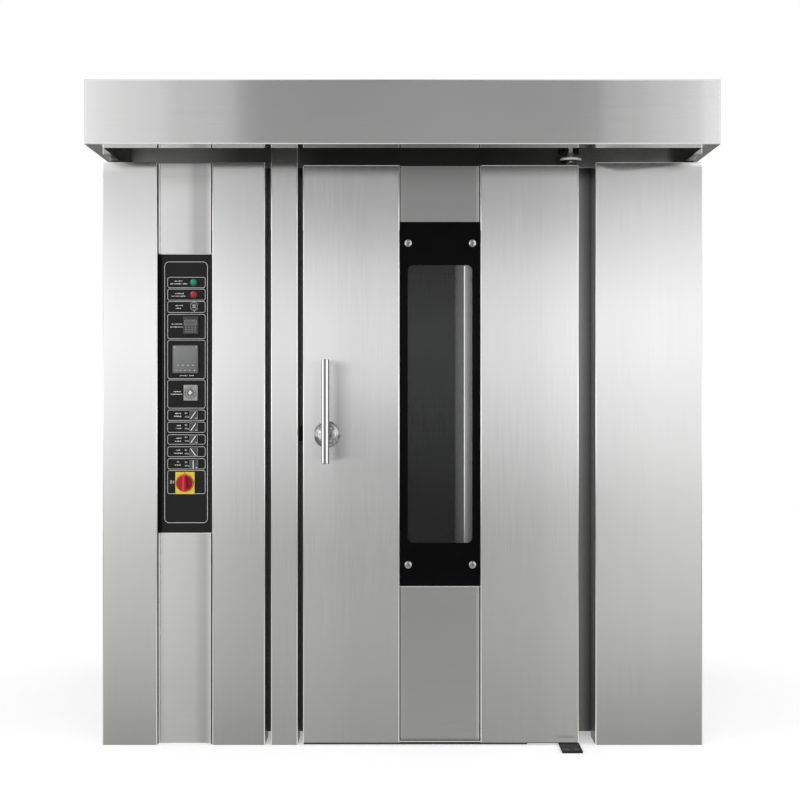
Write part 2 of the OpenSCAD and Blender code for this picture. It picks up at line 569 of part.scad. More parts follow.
// ---- door ----------------------------------------------------------------
module door_skin() color("lightgray") at_front() difference() {
  hat_pan(door_x0, door_x1, door_a, door_b, door_rec, door_t, door_z0, door_z1, sheet);
  bx(5, 246, door_rec - 1, door_rec + 5, 633, 1639);
  bx(door_x0 - 1, door_x0 + 5, 40, 57, 1018, 1114);
  cyl_y(sp_x, sp_z, -1, 5, 9);
  cyl_z(hinge_x, hinge_y, door_z1 - 5, door_z1 + 5, 19.8);
  cyl_z(hinge_x, hinge_y, door_z0 - 5, door_z0 + 5, 19.8);
  for (x = [19, 234]) for (z = [599, 1674]) cyl_y(x, z, door_rec - 1, door_rec + 5, 4.6);
}
module door_infill() color("gray") at_front() {
  bx(door_a + 0.4, door_b - 0.4, door_rec - 2, door_rec, glass_z1 + 1, door_z1);
  bx(door_a + 0.4, door_b - 0.4, door_rec - 2, door_rec, door_z0, glass_z0 - 1);
}
module door_liner() color("silver") at_front() {
  difference() {
    bx(door_x0 + sheet + 0.2, door_x1 - sheet - 0.2, door_t - 2, door_t, door_z0 + 2.2, door_z1 - 2.2);
    bx(8, 243, door_t - 3, door_t + 1, 636, 1636);
    cyl_y(sp_x, sp_z, door_t - 3, door_t + 1, 9);
  }
  difference() {
    bx(6, 245, door_rec + sheet + 0.3, door_t - 1, 634, 1638);
    bx(8, 243, 0, door_t + 1, 636, 1636);
  }
}
module door_insulation() color("khaki") at_front() {
  r = door_rec + sheet + 0.4; e = door_t - 2.3; z0 = door_z0 + 2.3; z1 = door_z1 - 2.3;
  difference() {
    bx(door_x0 + 2.3, door_a - 2.5, 2.3, e, z0, z1);
    bx(door_x0, -228, 37, 60, 1012, 1142);
    cyl_y(sp_x, sp_z, 2, e + 1, 10);
  }
  bx(door_a - 2.3, 4.5, r, e, z0, z1);
  bx(246.5, door_b + 2.3, r, e, z0, z1);
  difference() {
    bx(door_b + 2.5, door_x1 - 2.3, 2.3, e, z0, z1);
    cyl_z(hinge_x, hinge_y, 1895, door_z1, 20);
    cyl_z(hinge_x, hinge_y, 0, 50, 20);
  }
  bx(4.7, 246.3, r, e, z0, 632.6);
  bx(4.7, 246.3, r, e, 1639.4, z1);
}
module window_outer_glass() color([0.05, 0.05, 0.05, 0.7]) at_front() difference() {
  bx(door_a + 0.5, door_b - 0.5, door_rec - 6, door_rec - 0.1, glass_z0, glass_z1);
  for (x = [19, 234]) for (z = [599, 1674]) cyl_y(x, z, 0, door_rec + 1, 5);
}
module window_inner_glass() color([0.6, 0.65, 0.65, 0.4]) at_front()
  bx(8.4, 242.6, door_t - 9, door_t - 4, 636.4, 1635.6);
module window_caps() color("silver") at_front()
  for (x = [19, 234]) for (z = [599, 1674]) {
    translate([x, door_rec - 6.1, z]) rotate([90, 0, 0]) rotate_extrude($fn = 64)
      polygon([[0, 0], [cap_r, 0], [cap_r, 3], [cap_r - 1, 4.4], [4.5, 5.4], [4.5, 4.4], [0, 4.4]]);
    cyl_y(x, z, door_rec - 6.2, door_rec + sheet + 0.2, 4.3);
  }
module window_lamp() color("white") at_front() {
  translate([0, 0, 642]) linear_extrude(988) polygon([[176, 62], [207, 40], [238, 58], [238, 59.8], [207, 42.2], [176, 64.2]]);
  cyl_z(207, 60, 660, 1612, 8);
  for (z = [642, 1606]) bx(196, 218, 47, 70, z, z + 24);
}
module door_gasket() color([0.12, 0.12, 0.12]) at_front() {
  bx(-318, -292, door_t, jamb_y - 0.6, 20, 1846);
  bx(522, 548, door_t, jamb_y - 0.6, 20, 1846);
  bx(-291.8, 521.8, door_t, jamb_y - 0.6, 1820, 1846);
}
module door_sweep() color([0.06, 0.06, 0.06]) at_front() {
  bx(door_x0 + 2, 416, 3, 9, 1.6, door_z0);
  // thin over the bottom hinge plate, which it passes as the door opens
  bx(415, 584, 3, 9, 6.5, door_z0);
}
module hinge_cups() color("silver") at_front() {
  difference() { cyl_z(hinge_x, hinge_y, 1900, 1948, 19.5); cyl_z(hinge_x, hinge_y, 1910, 1950, 6.06); }
  difference() { cyl_z(hinge_x, hinge_y, 9.4, 44, 19.5); cyl_z(hinge_x, hinge_y, 0, 34, 10.06); }
}
module handle_rosette() color("silver") at_front() difference() {
  translate([sp_x, 0, sp_z]) rotate([90, 0, 0]) rotate_extrude($fn = 96)
    polygon([[0, 0.05], [45, 0.05], [45, 3], [43.5, 5], [38, 7.2], [28, 9], [16, 10], [0, 10]]);
  cyl_y(sp_x, sp_z, -12, 2, 8.1);
}
module handle_bar() color("silver") at_front() {
  translate([sp_x, -bar_out, sp_z - bar_len * (1 - bar_up)]) cylinder(h = bar_len, r = bar_r, $fn = 64);
  cyl_y(sp_x, sp_z, -bar_out, -12, 11);
  cyl_y(sp_x, sp_z, -26, -11.5, 14);
}
module latch_spindle() color("gray") at_front() {
  cyl_y(sp_x, sp_z, -11.5, 103, 8);
  bx(sp_x - 97, sp_x, 44, 52, sp_z - 10, sp_z + 10);
  cyl_y(sp_x, sp_z, 42, 54, 16);
  // release knob on the inside of the door
  cyl_y(sp_x, sp_z, door_t + 4, 103, 17);
}

base_frame();
chamber_floor();
door_frame();
diffuser_wall();
chamber_walls();
chamber_ceiling();
insulation_batts();
side_panel_left();
side_panel_right();
rear_panel();
roof_panel();
control_cover();
control_infill();
control_panel();
door_post();
right_cover();
canopy_shell();
canopy_fascia();
hood_fan_casing();
hood_impeller();
steam_vent();
damper_flap();
electrical_tray();
heater_elements();
steam_generator();
fan_motor();
fan_impeller();
rotor_bearing();
gear_motor();
rotor_shaft();
rack_hook();
panel_instruments();
steam_timer_knob();
switch_bezels();
green_button();
red_button();
selector_a();
selector_b();
selector_c();
selector_d();
selector_e();
main_switch_plate();
main_switch_knob();
hinge_pin_top();
hinge_bracket();
keeper_spring();
door_skin();
door_infill();
door_liner();
door_insulation();
window_outer_glass();
window_inner_glass();
window_caps();
window_lamp();
door_gasket();
door_sweep();
hinge_cups();
handle_rosette();
handle_bar();
latch_spindle();
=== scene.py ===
import math
import random

import bmesh
import bpy
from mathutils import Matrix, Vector


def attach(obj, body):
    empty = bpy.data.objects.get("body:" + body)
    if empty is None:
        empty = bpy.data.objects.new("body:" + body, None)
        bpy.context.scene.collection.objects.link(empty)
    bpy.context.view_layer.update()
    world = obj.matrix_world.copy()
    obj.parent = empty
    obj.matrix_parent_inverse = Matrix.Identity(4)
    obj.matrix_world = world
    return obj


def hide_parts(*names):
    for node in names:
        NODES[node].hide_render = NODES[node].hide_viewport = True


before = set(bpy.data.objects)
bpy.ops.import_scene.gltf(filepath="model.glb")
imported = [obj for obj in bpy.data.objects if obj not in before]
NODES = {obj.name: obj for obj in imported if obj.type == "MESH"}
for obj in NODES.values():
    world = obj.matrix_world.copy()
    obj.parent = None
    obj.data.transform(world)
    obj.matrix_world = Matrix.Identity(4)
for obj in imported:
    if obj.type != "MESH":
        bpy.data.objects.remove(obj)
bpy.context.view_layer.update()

MM = 0.001
FY = -0.553          # front plane of the covers, in the row frame
rnd = random.Random(7)


def V(x, y, z):
    """A point given in millimetres, y behind the front plane of the covers."""
    return Vector((x * MM, y * MM + FY, z * MM))


# ---------------------------------------------------------------- materials
def new_mat(name):
    m = bpy.data.materials.new(name)
    m.use_nodes = True
    nt = m.node_tree
    nt.nodes.clear()
    out = nt.nodes.new("ShaderNodeOutputMaterial")
    b = nt.nodes.new("ShaderNodeBsdfPrincipled")
    nt.links.new(b.outputs[0], out.inputs[0])
    return m, nt, b


def node(nt, kind, **kw):
    n = nt.nodes.new("ShaderNode" + kind)
    for k, v in kw.items():
        setattr(n, k, v)
    return n


def noise(nt, coord, scale, detail=2.0, rough=0.5, mapscale=None, loc=(0, 0, 0), rot=(0, 0, 0)):
    """Noise on object coordinates in metres; mapscale stretches it."""
    mp = node(nt, "Mapping")
    mp.inputs["Scale"].default_value = mapscale or (1, 1, 1)
    mp.inputs["Location"].default_value = loc
    mp.inputs["Rotation"].default_value = rot
    nt.links.new(coord, mp.inputs["Vector"])
    n = node(nt, "TexNoise")
    n.inputs["Scale"].default_value = scale
    n.inputs["Detail"].default_value = detail
    n.inputs["Roughness"].default_value = rough
    nt.links.new(mp.outputs[0], n.inputs["Vector"])
    return n.outputs["Fac"]


def remap(nt, fac, lo, hi, a=0.3, b=0.7):
    r = node(nt, "MapRange")
    r.inputs["From Min"].default_value = a
    r.inputs["From Max"].default_value = b
    r.inputs["To Min"].default_value = lo
    r.inputs["To Max"].default_value = hi
    nt.links.new(fac, r.inputs["Value"])
    return r.outputs["Result"]


def math_(nt, op, a, b=None, c=None, clamp=False):
    n = node(nt, "Math", operation=op, use_clamp=clamp)
    for i, v in enumerate((a, b, c)):
        if v is None:
            continue
        if isinstance(v, (int, float)):
            n.inputs[i].default_value = v
        else:
            nt.links.new(v, n.inputs[i])
    return n.outputs[0]


def mix_rgb(nt, fac, c1, c2, mode="MIX"):
    n = node(nt, "Mix", data_type="RGBA", blend_type=mode)
    for sock, v in ((n.inputs["Factor"], fac), (n.inputs[6], c1), (n.inputs[7], c2)):
        if isinstance(v, (int, float)):
            sock.default_value = v
        elif isinstance(v, (tuple, list)):
            sock.default_value = (*v[:3], 1)
        else:
            nt.links.new(v, sock)
    return n.outputs[2]


def bump(nt, b, height, strength, dist):
    n = node(nt, "Bump")
    n.inputs["Strength"].default_value = strength
    n.inputs["Distance"].default_value = dist
    nt.links.new(height, n.inputs["Height"])
    nt.links.new(n.outputs[0], b.inputs["Normal"])
    return n


def by_ramp(nt, value, stops):
    """Smooth curve through (value, result) pairs, as a chain of range maps."""
    out = None
    for (a, ra), (b_, rb) in zip(stops, stops[1:]):
        r = node(nt, "MapRange", clamp=True)
        r.inputs["From Min"].default_value = a
        r.inputs["From Max"].default_value = b_
        r.inputs["To Min"].default_value = 0.0
        r.inputs["To Max"].default_value = rb - ra
        nt.links.new(value, r.inputs["Value"])
        out = r.outputs["Result"] if out is None else math_(nt, "ADD", out, r.outputs["Result"])
    return math_(nt, "ADD", out, stops[0][1])


def split(nt, tc):
    n = node(nt, "SeparateXYZ")
    nt.links.new(tc, n.inputs[0])
    return n.outputs


def scale_col(nt, col, k):
    n = node(nt, "VectorMath", operation="SCALE")
    nt.links.new(col, n.inputs[0])
    if isinstance(k, (int, float)):
        n.inputs["Scale"].default_value = k
    else:
        nt.links.new(k, n.inputs["Scale"])
    return n.outputs[0]


GRAIN = {"z": (1, 1, 0.008), "x": (0.008, 1, 1), "y": (1, 0.008, 1)}
_cache = {}


def steel(grain="z", base=(0.62, 0.62, 0.62), rough=0.215, aniso=0.9, var=0.020, streak=0.012, bumps=0.016, smudge=0.008, cloud=0.012, tag="", tune=None, fold_bright=1.0, fold_col=0.86):
    """Brushed stainless sheet. grain is the direction of the brush lines."""
    key = ("steel", grain, base, rough, aniso, var, streak, bumps, smudge, cloud, tag)
    if key in _cache:
        return _cache[key]
    m, nt, b = new_mat("steel_%s_%d%s" % (grain, len(_cache), tag))
    tc = node(nt, "TexCoord").outputs["Object"]
    g = GRAIN[grain]
    fine = noise(nt, tc, 900, 3, 0.6, g)
    mid = noise(nt, tc, 160, 2, 0.6, g, (3, 1, 2))
    wide = noise(nt, tc, 14, 2, 0.5, tuple(1 if c == 1 else 0.12 for c in g), (6, 2, 9))
    big = noise(nt, tc, 1.6, 3, 0.5, None, (5, 2, 1))
    spots = noise(nt, tc, 30, 2, 0.5, None, (1, 7, 3))
    col = mix_rgb(nt, remap(nt, fine, 0, 1), tuple(c * (1 - var) for c in base), tuple(min(1, c * (1 + var)) for c in base))
    col = mix_rgb(nt, remap(nt, mid, 0.0, 1.0), col, mix_rgb(nt, 1.0, col, (1 - streak,) * 3, "MULTIPLY"))
    col = mix_rgb(nt, remap(nt, big, 0.0, 1.0), col, mix_rgb(nt, 1.0, col, (1 - cloud, 1 - cloud, 1 - cloud * 1.15), "MULTIPLY"))
    col = mix_rgb(nt, remap(nt, wide, 0.0, 1.0, 0.35, 0.65), col, mix_rgb(nt, 1.0, col, (1 - cloud * 0.4,) * 3, "MULTIPLY"))
    b.inputs["Metallic"].default_value = 1.0
    r = math_(nt, "ADD", remap(nt, fine, rough - 0.012, rough + 0.012), remap(nt, big, -smudge, smudge))
    r = math_(nt, "ADD", r, remap(nt, spots, 0, smudge * 0.6, 0.55, 0.8))
    if tune:
        col, r = tune(nt, tc, col, r)
    # painted highlight: facets turned away from the main axes (folds, broken edges), except the outermost ones, take a
    # paler colour and a smoother finish
    nn = split(nt, node(nt, "TexCoord").outputs["Normal"])
    top = math_(nt, "MAXIMUM", math_(nt, "MAXIMUM", math_(nt, "ABSOLUTE", nn[0]), math_(nt, "ABSOLUTE", nn[1])), math_(nt, "ABSOLUTE", nn[2]))
    inner = math_(nt, "LESS_THAN", math_(nt, "ABSOLUTE", split(nt, tc)[0]), 0.985)
    fold = math_(nt, "MULTIPLY", math_(nt, "MULTIPLY", math_(nt, "LESS_THAN", top, 0.9965), inner), fold_bright)
    col = mix_rgb(nt, fold, col, (fold_col,) * 3)
    r = math_(nt, "MULTIPLY", r, math_(nt, "SUBTRACT", 1.0, math_(nt, "MULTIPLY", fold, 0.25)))
    nt.links.new(col, b.inputs["Base Color"])
    nt.links.new(r, b.inputs["Roughness"])
    b.inputs["Anisotropic"].default_value = aniso
    t = node(nt, "Tangent", direction_type="RADIAL", axis={"z": "Z", "x": "X", "y": "Y"}[grain])
    if grain == "x":
        t2 = node(nt, "Tangent", direction_type="RADIAL", axis="Y")
        pick = node(nt, "Mix", data_type="VECTOR")
        nt.links.new(math_(nt, "GREATER_THAN", math_(nt, "ABSOLUTE", nn[0]), 0.8), pick.inputs["Factor"])
        nt.links.new(t.outputs[0], pick.inputs[4])
        nt.links.new(t2.outputs[0], pick.inputs[5])
        nt.links.new(pick.outputs[1], b.inputs["Tangent"])
    else:
        nt.links.new(t.outputs[0], b.inputs["Tangent"])
    bump(nt, b, math_(nt, "ADD", fine, math_(nt, "MULTIPLY", mid, 0.4)), bumps, 0.0003)
    _cache[key] = m
    return m


def metal(name, base=(0.6, 0.6, 0.6), rough=0.25, var=0.05, scale=60, bumps=0.03, aniso=0.0, axis="Z", stain=None, dist=0.0004):
    """Turned, cast or pressed metal without a brushed grain."""
    key = ("metal", name)
    if key in _cache:
        return _cache[key]
    m, nt, b = new_mat(name)
    tc = node(nt, "TexCoord").outputs["Object"]
    f = noise(nt, tc, scale, 4, 0.6)
    w = noise(nt, tc, 6, 3, 0.6, None, (4, 4, 4))
    col = mix_rgb(nt, remap(nt, f, 0, 1), tuple(c * (1 - var) for c in base), tuple(min(1, c * (1 + var)) for c in base))
    if stain:
        col = mix_rgb(nt, remap(nt, w, 0, 0.75, 0.42, 0.68), col, stain)
    nt.links.new(col, b.inputs["Base Color"])
    b.inputs["Metallic"].default_value = 1.0
    b.inputs["Anisotropic"].default_value = aniso
    if aniso:
        t = node(nt, "Tangent", direction_type="RADIAL", axis=axis)
        nt.links.new(t.outputs[0], b.inputs["Tangent"])
    nt.links.new(math_(nt, "ADD", remap(nt, f, rough * 0.85, rough * 1.15), remap(nt, w, -0.15 * rough, 0.15 * rough)), b.inputs["Roughness"])
    bump(nt, b, f, bumps, dist)
    _cache[key] = m
    return m


def coat(name, base, rough=0.5, var=0.12, scale=400, bumps=0.08, spec=0.5, dist=0.0003, patch=0.35, gloss=0.0):
    """Paint, plastic, rubber, wool: a dielectric with grain of its own."""
    key = ("coat", name)
    if key in _cache:
        return _cache[key]
    m, nt, b = new_mat(name)
    tc = node(nt, "TexCoord").outputs["Object"]
    f = noise(nt, tc, scale, 3, 0.6)
    w = noise(nt, tc, 9, 4, 0.6, None, (2, 5, 8))
    c = mix_rgb(nt, remap(nt, f, 0, 1), tuple(x * (1 - var) for x in base), tuple(min(1, x * (1 + var)) for x in base))
    c = mix_rgb(nt, remap(nt, w, 0, patch, 0.35, 0.75), c, tuple(x * 0.8 for x in base))
    nt.links.new(c, b.inputs["Base Color"])
    b.inputs["Specular IOR Level"].default_value = spec
    b.inputs["Coat Weight"].default_value = gloss
    b.inputs["Coat Roughness"].default_value = 0.08
    nt.links.new(math_(nt, "ADD", remap(nt, f, rough - 0.04, rough + 0.04), remap(nt, w, -0.04, 0.04)), b.inputs["Roughness"])
    bump(nt, b, f, bumps, dist)
    _cache[key] = m
    return m


def emit(name, color, strength):
    key = ("emit", name)
    if key in _cache:
        return _cache[key]
    m, nt, b = new_mat(name)
    tc = node(nt, "TexCoord").outputs["Object"]
    f = noise(nt, tc, 25, 2, 0.5)
    col = mix_rgb(nt, remap(nt, f, 0, 1), tuple(c * 0.94 for c in color), color)
    nt.links.new(col, b.inputs["Base Color"])
    nt.links.new(col, b.inputs["Emission Color"])
    b.inputs["Emission Strength"].default_value = strength
    b.inputs["Roughness"].default_value = 0.4
    _cache[key] = m
    return m


def thin_glass(nt, tint, film, film_fac, refl, rough):
    """Light goes straight through, tinted; a weak film scatters; the surface reflects."""
    tc = node(nt, "TexCoord").outputs["Object"]
    f = noise(nt, tc, 3.0, 3, 0.6)
    sm = noise(nt, tc, 11.0, 4, 0.6, None, (3, 3, 3))
    tr = node(nt, "BsdfTransparent")
    nt.links.new(mix_rgb(nt, remap(nt, f, 0, 1), tuple(c * 0.95 for c in tint), tint), tr.inputs["Color"])
    df = node(nt, "BsdfDiffuse")
    nt.links.new(mix_rgb(nt, remap(nt, sm, 0, 1), tuple(c * 0.9 for c in film), film), df.inputs["Color"])
    m1 = node(nt, "MixShader")
    m1.inputs[0].default_value = film_fac
    nt.links.new(tr.outputs[0], m1.inputs[1])
    nt.links.new(df.outputs[0], m1.inputs[2])
    gl = node(nt, "BsdfGlossy")
    gl.inputs["Color"].default_value = (1, 1, 1, 1)
    nt.links.new(remap(nt, sm, rough * 0.6, rough * 1.6), gl.inputs["Roughness"])
    fr = node(nt, "Fresnel")
    fr.inputs["IOR"].default_value = refl
    mx = node(nt, "MixShader")
    nt.links.new(fr.outputs[0], mx.inputs[0])
    nt.links.new(m1.outputs[0], mx.inputs[1])
    nt.links.new(gl.outputs[0], mx.inputs[2])
    return mx.outputs[0]


def glass(name, tint, film=(0.1, 0.1, 0.1), film_fac=0.03, refl=1.45, rough=0.03):
    key = ("glass", name)
    if key in _cache:
        return _cache[key]
    m = bpy.data.materials.new(name)
    m.use_nodes = True
    nt = m.node_tree
    nt.nodes.clear()
    out = node(nt, "OutputMaterial")
    nt.links.new(thin_glass(nt, tint, film, film_fac, refl, rough), out.inputs[0])
    _cache[key] = m
    return m


def band_mask(nt, coord, axis, lo, hi):
    """1 where the coordinate is between lo and hi, in metres."""
    sp = node(nt, "SeparateXYZ")
    nt.links.new(coord, sp.inputs[0])
    v = sp.outputs[axis]
    return math_(nt, "MULTIPLY", math_(nt, "GREATER_THAN", v, lo), math_(nt, "LESS_THAN", v, hi))


def window_mat():
    """Dark toughened glass with a black enamelled edge printed on it, round the clear field."""
    m = bpy.data.materials.new("window_glass_enamelled")
    m.use_nodes = True
    nt = m.node_tree
    nt.nodes.clear()
    out = node(nt, "OutputMaterial")
    tc = node(nt, "TexCoord").outputs["Object"]
    sp = node(nt, "SeparateXYZ")
    nt.links.new(tc, sp.inputs[0])
    # rounded rectangle X 17.7..233.5, Z 672..1601, corner radius 18 (mm)
    cx, cz, hx, hz, r = 0.1256, 1.1365, 0.1079 - 0.018, 0.4645 - 0.018, 0.018
    dx = math_(nt, "MAXIMUM", math_(nt, "SUBTRACT", math_(nt, "ABSOLUTE", math_(nt, "SUBTRACT", sp.outputs[0], cx)), hx), 0.0)
    dz = math_(nt, "MAXIMUM", math_(nt, "SUBTRACT", math_(nt, "ABSOLUTE", math_(nt, "SUBTRACT", sp.outputs[2], cz)), hz), 0.0)
    d = math_(nt, "SUBTRACT", math_(nt, "SQRT", math_(nt, "ADD", math_(nt, "MULTIPLY", dx, dx), math_(nt, "MULTIPLY", dz, dz))), r)
    inside = math_(nt, "LESS_THAN", d, 0.0)
    clear = thin_glass(nt, (0.60, 0.605, 0.605), (0.30, 0.30, 0.302), 0.028, 1.36, 0.05)
    b = node(nt, "BsdfPrincipled")
    f = noise(nt, tc, 500, 2, 0.5)
    s2 = noise(nt, tc, 12, 3, 0.5)
    nt.links.new(mix_rgb(nt, remap(nt, s2, 0, 1), (0.0022, 0.0022, 0.0023), (0.0032, 0.0032, 0.0033)), b.inputs["Base Color"])
    nt.links.new(math_(nt, "ADD", remap(nt, f, 0.05, 0.07), remap(nt, s2, 0.0, 0.04)), b.inputs["Roughness"])
    b.inputs["IOR"].default_value = 1.13
    mx = node(nt, "MixShader")
    nt.links.new(inside, mx.inputs[0])
    nt.links.new(b.outputs[0], mx.inputs[1])
    nt.links.new(clear, mx.inputs[2])
    nt.links.new(mx.outputs[0], out.inputs[0])
    return m


# ---------------------------------------------------------------- geometry
AX = {
    "-y": (Vector((1, 0, 0)), Vector((0, 0, 1)), Vector((0, -1, 0))),
    "+y": (Vector((-1, 0, 0)), Vector((0, 0, 1)), Vector((0, 1, 0))),
    "+z": (Vector((1, 0, 0)), Vector((0, 1, 0)), Vector((0, 0, 1))),
    "-z": (Vector((1, 0, 0)), Vector((0, -1, 0)), Vector((0, 0, -1))),
    "+x": (Vector((0, 1, 0)), Vector((0, 0, 1)), Vector((1, 0, 0))),
    "-x": (Vector((0, -1, 0)), Vector((0, 0, 1)), Vector((-1, 0, 0))),
}


def at(org, axis, a, b, h):
    u, v, n = AX[axis]
    p = Vector(org) + u * a + v * b + n * h
    return V(*p)


def rot2(p, deg):
    c, s = math.cos(math.radians(deg)), math.sin(math.radians(deg))
    return (p[0] * c - p[1] * s, p[0] * s + p[1] * c)


def rrect(w, h, r, n=5, c=(0, 0)):
    """Outline of a rounded rectangle, counter-clockwise."""
    r = max(0.01, min(r, w / 2 - 0.01, h / 2 - 0.01))
    pts = []
    for sx, sy, a0 in ((1, 1, 0), (-1, 1, 90), (-1, -1, 180), (1, -1, 270)):
        for i in range(n + 1):
            a = math.radians(a0 + 90 * i / n)
            pts.append((c[0] + sx * (w / 2 - r) + r * math.cos(a), c[1] + sy * (h / 2 - r) + r * math.sin(a)))
    return pts


def circ(r, n=32, c=(0, 0), a0=0.0):
    return [(c[0] + r * math.cos(2 * math.pi * i / n + a0), c[1] + r * math.sin(2 * math.pi * i / n + a0)) for i in range(n)]


def prism(bm, pts, org, axis, h0, h1, mat=0, ch=0.0):
    """Closed prism over a convex outline; ch chamfers its outer face."""
    cx = sum(p[0] for p in pts) / len(pts)
    cy = sum(p[1] for p in pts) / len(pts)
    rows = [[(p[0], p[1], h0) for p in pts]]
    if ch:
        rows.append([(p[0], p[1], h1 - ch) for p in pts])
        mx = max(abs(p[0] - cx) for p in pts)
        my = max(abs(p[1] - cy) for p in pts)
        kx, ky = (mx - ch) / mx if mx else 1, (my - ch) / my if my else 1
        rows.append([(cx + (p[0] - cx) * kx, cy + (p[1] - cy) * ky, h1) for p in pts])
    else:
        rows.append([(p[0], p[1], h1) for p in pts])
    vs = [[bm.verts.new(at(org, axis, *q)) for q in row] for row in rows]
    n = len(pts)
    fs = []
    for a, b in zip(vs, vs[1:]):
        for i in range(n):
            j = (i + 1) % n
            fs.append(bm.faces.new((a[i], a[j], b[j], b[i])))
    fs.append(bm.faces.new(vs[-1]))
    fs.append(bm.faces.new(list(reversed(vs[0]))))
    for f in fs:
        f.material_index = mat
    return fs


def ring(bm, outer, inner, org, axis, h0, h1, mat=0):
    """Flat frame between two outlines with the same number of points."""
    n = len(outer)
    L = [[bm.verts.new(at(org, axis, p[0], p[1], h)) for p in o] for o, h in ((outer, h0), (outer, h1), (inner, h1), (inner, h0))]
    for k in range(4):
        a, b = L[k], L[(k + 1) % 4]
        for i in range(n):
            j = (i + 1) % n
            f = bm.faces.new((a[i], a[j], b[j], b[i]))
            f.material_index = mat


def lathe(bm, prof, org, axis, segs=40, mat=0, a0=0.0):
    """Turned body: prof is a list of (radius, height along axis)."""
    rows = []
    for r, h in prof:
        if r < 1e-6:
            rows.append([bm.verts.new(at(org, axis, 0, 0, h))])
        else:
            rows.append([bm.verts.new(at(org, axis, r * math.cos(2 * math.pi * i / segs + a0), r * math.sin(2 * math.pi * i / segs + a0), h)) for i in range(segs)])
    for a, b in zip(rows, rows[1:]):
        for i in range(segs):
            j = (i + 1) % segs
            if len(a) == 1 and len(b) == 1:
                continue
            if len(a) == 1:
                f = bm.faces.new((a[0], b[j], b[i]))
            elif len(b) == 1:
                f = bm.faces.new((a[i], a[j], b[0]))
            else:
                f = bm.faces.new((a[i], a[j], b[j], b[i]))
            f.material_index = mat


def beam(bm, x0, x1, y0, y1, z0, z1, mat=0, axis="z", r=0.6, n=2):
    """Straight bar with rounded long edges, running along axis."""
    if axis == "z":
        prism(bm, rrect(x1 - x0, y1 - y0, r, n, ((x0 + x1) / 2, (y0 + y1) / 2)), (0, 0, 0), "+z", z0, z1, mat)
    elif axis == "x":
        prism(bm, rrect(y1 - y0, z1 - z0, r, n, ((y0 + y1) / 2, (z0 + z1) / 2)), (0, 0, 0), "+x", x0, x1, mat)
    else:
        prism(bm, rrect(x1 - x0, z1 - z0, r, n, (-(x0 + x1) / 2, (z0 + z1) / 2)), (0, 0, 0), "+y", y0, y1, mat)


def screw(bm, org, axis, r=4.0, h=2.2, mat=0, turn=0.0):
    """Pan head with a socket, seated on a thin washer."""
    lathe(bm, [(0, 0), (r * 1.45, 0), (r * 1.45, h * 0.28), (r * 1.05, h * 0.34), (r, h * 0.5), (r * 0.86, h * 0.86), (r * 0.6, h), (r * 0.44, h)], org, axis, 24, mat)
    lathe(bm, [(r * 0.44, h), (r * 0.40, h * 0.45), (0, h * 0.4)], org, axis, 6, mat, turn)


def hexbolt(bm, org, axis, af, h, wr, wh=1.6, mat=0, turn=0.3):
    """Hexagon head on a washer."""
    lathe(bm, [(0, 0), (wr, 0), (wr, wh * 0.8), (wr * 0.96, wh), (0, wh)], org, axis, 32, mat)
    R = af / 2 / math.cos(math.pi / 6)
    lathe(bm, [(0, wh), (R, wh), (R, wh + h * 0.86), (R * 0.9, wh + h), (0, wh + h)], org, axis, 6, mat, turn)


def finish_mesh(name, bm, mat, body, angle=35.0, bev=0.0, segs=2):
    me = bpy.data.meshes.new(name)
    bmesh.ops.remove_doubles(bm, verts=bm.verts, dist=1e-7)
    bmesh.ops.recalc_face_normals(bm, faces=bm.faces)
    lim = math.radians(angle)
    for f in bm.faces:
        f.smooth = True
    for e in bm.edges:
        e.smooth = len(e.link_faces) == 2 and e.calc_face_angle(0) < lim
    bm.to_mesh(me)
    bm.free()
    o = bpy.data.objects.new(name, me)
    bpy.context.scene.collection.objects.link(o)
    for m in (mat if isinstance(mat, (list, tuple)) else [mat]):
        me.materials.append(m)
    if bev:
        b = o.modifiers.new("edges", "BEVEL")
        b.width = bev * MM
        b.segments = segs
        b.limit_method = "ANGLE"
        b.angle_limit = math.radians(angle)
        b.harden_normals = True
        b.use_clamp_overlap = True
    w = o.modifiers.new("wn", "WEIGHTED_NORMAL")
    w.keep_sharp = True
    w.weight = 80
    if body:
        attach(o, body)
    return o


def dress(name, mat, width=0.6, angle=32.0, segs=2):
    """A carried-over CAD node gets its material and softly broken edges."""
    o = NODES[name]
    o.data.materials.clear()
    o.data.materials.append(mat)
    if width:
        w = o.modifiers.new("weld", "WELD")
        w.merge_threshold = 1e-6
        b = o.modifiers.new("edges", "BEVEL")
        b.width = width * MM
        b.segments = segs
        b.limit_method = "ANGLE"
        b.angle_limit = math.radians(angle)
        b.harden_normals = True
        b.use_clamp_overlap = True
    return o


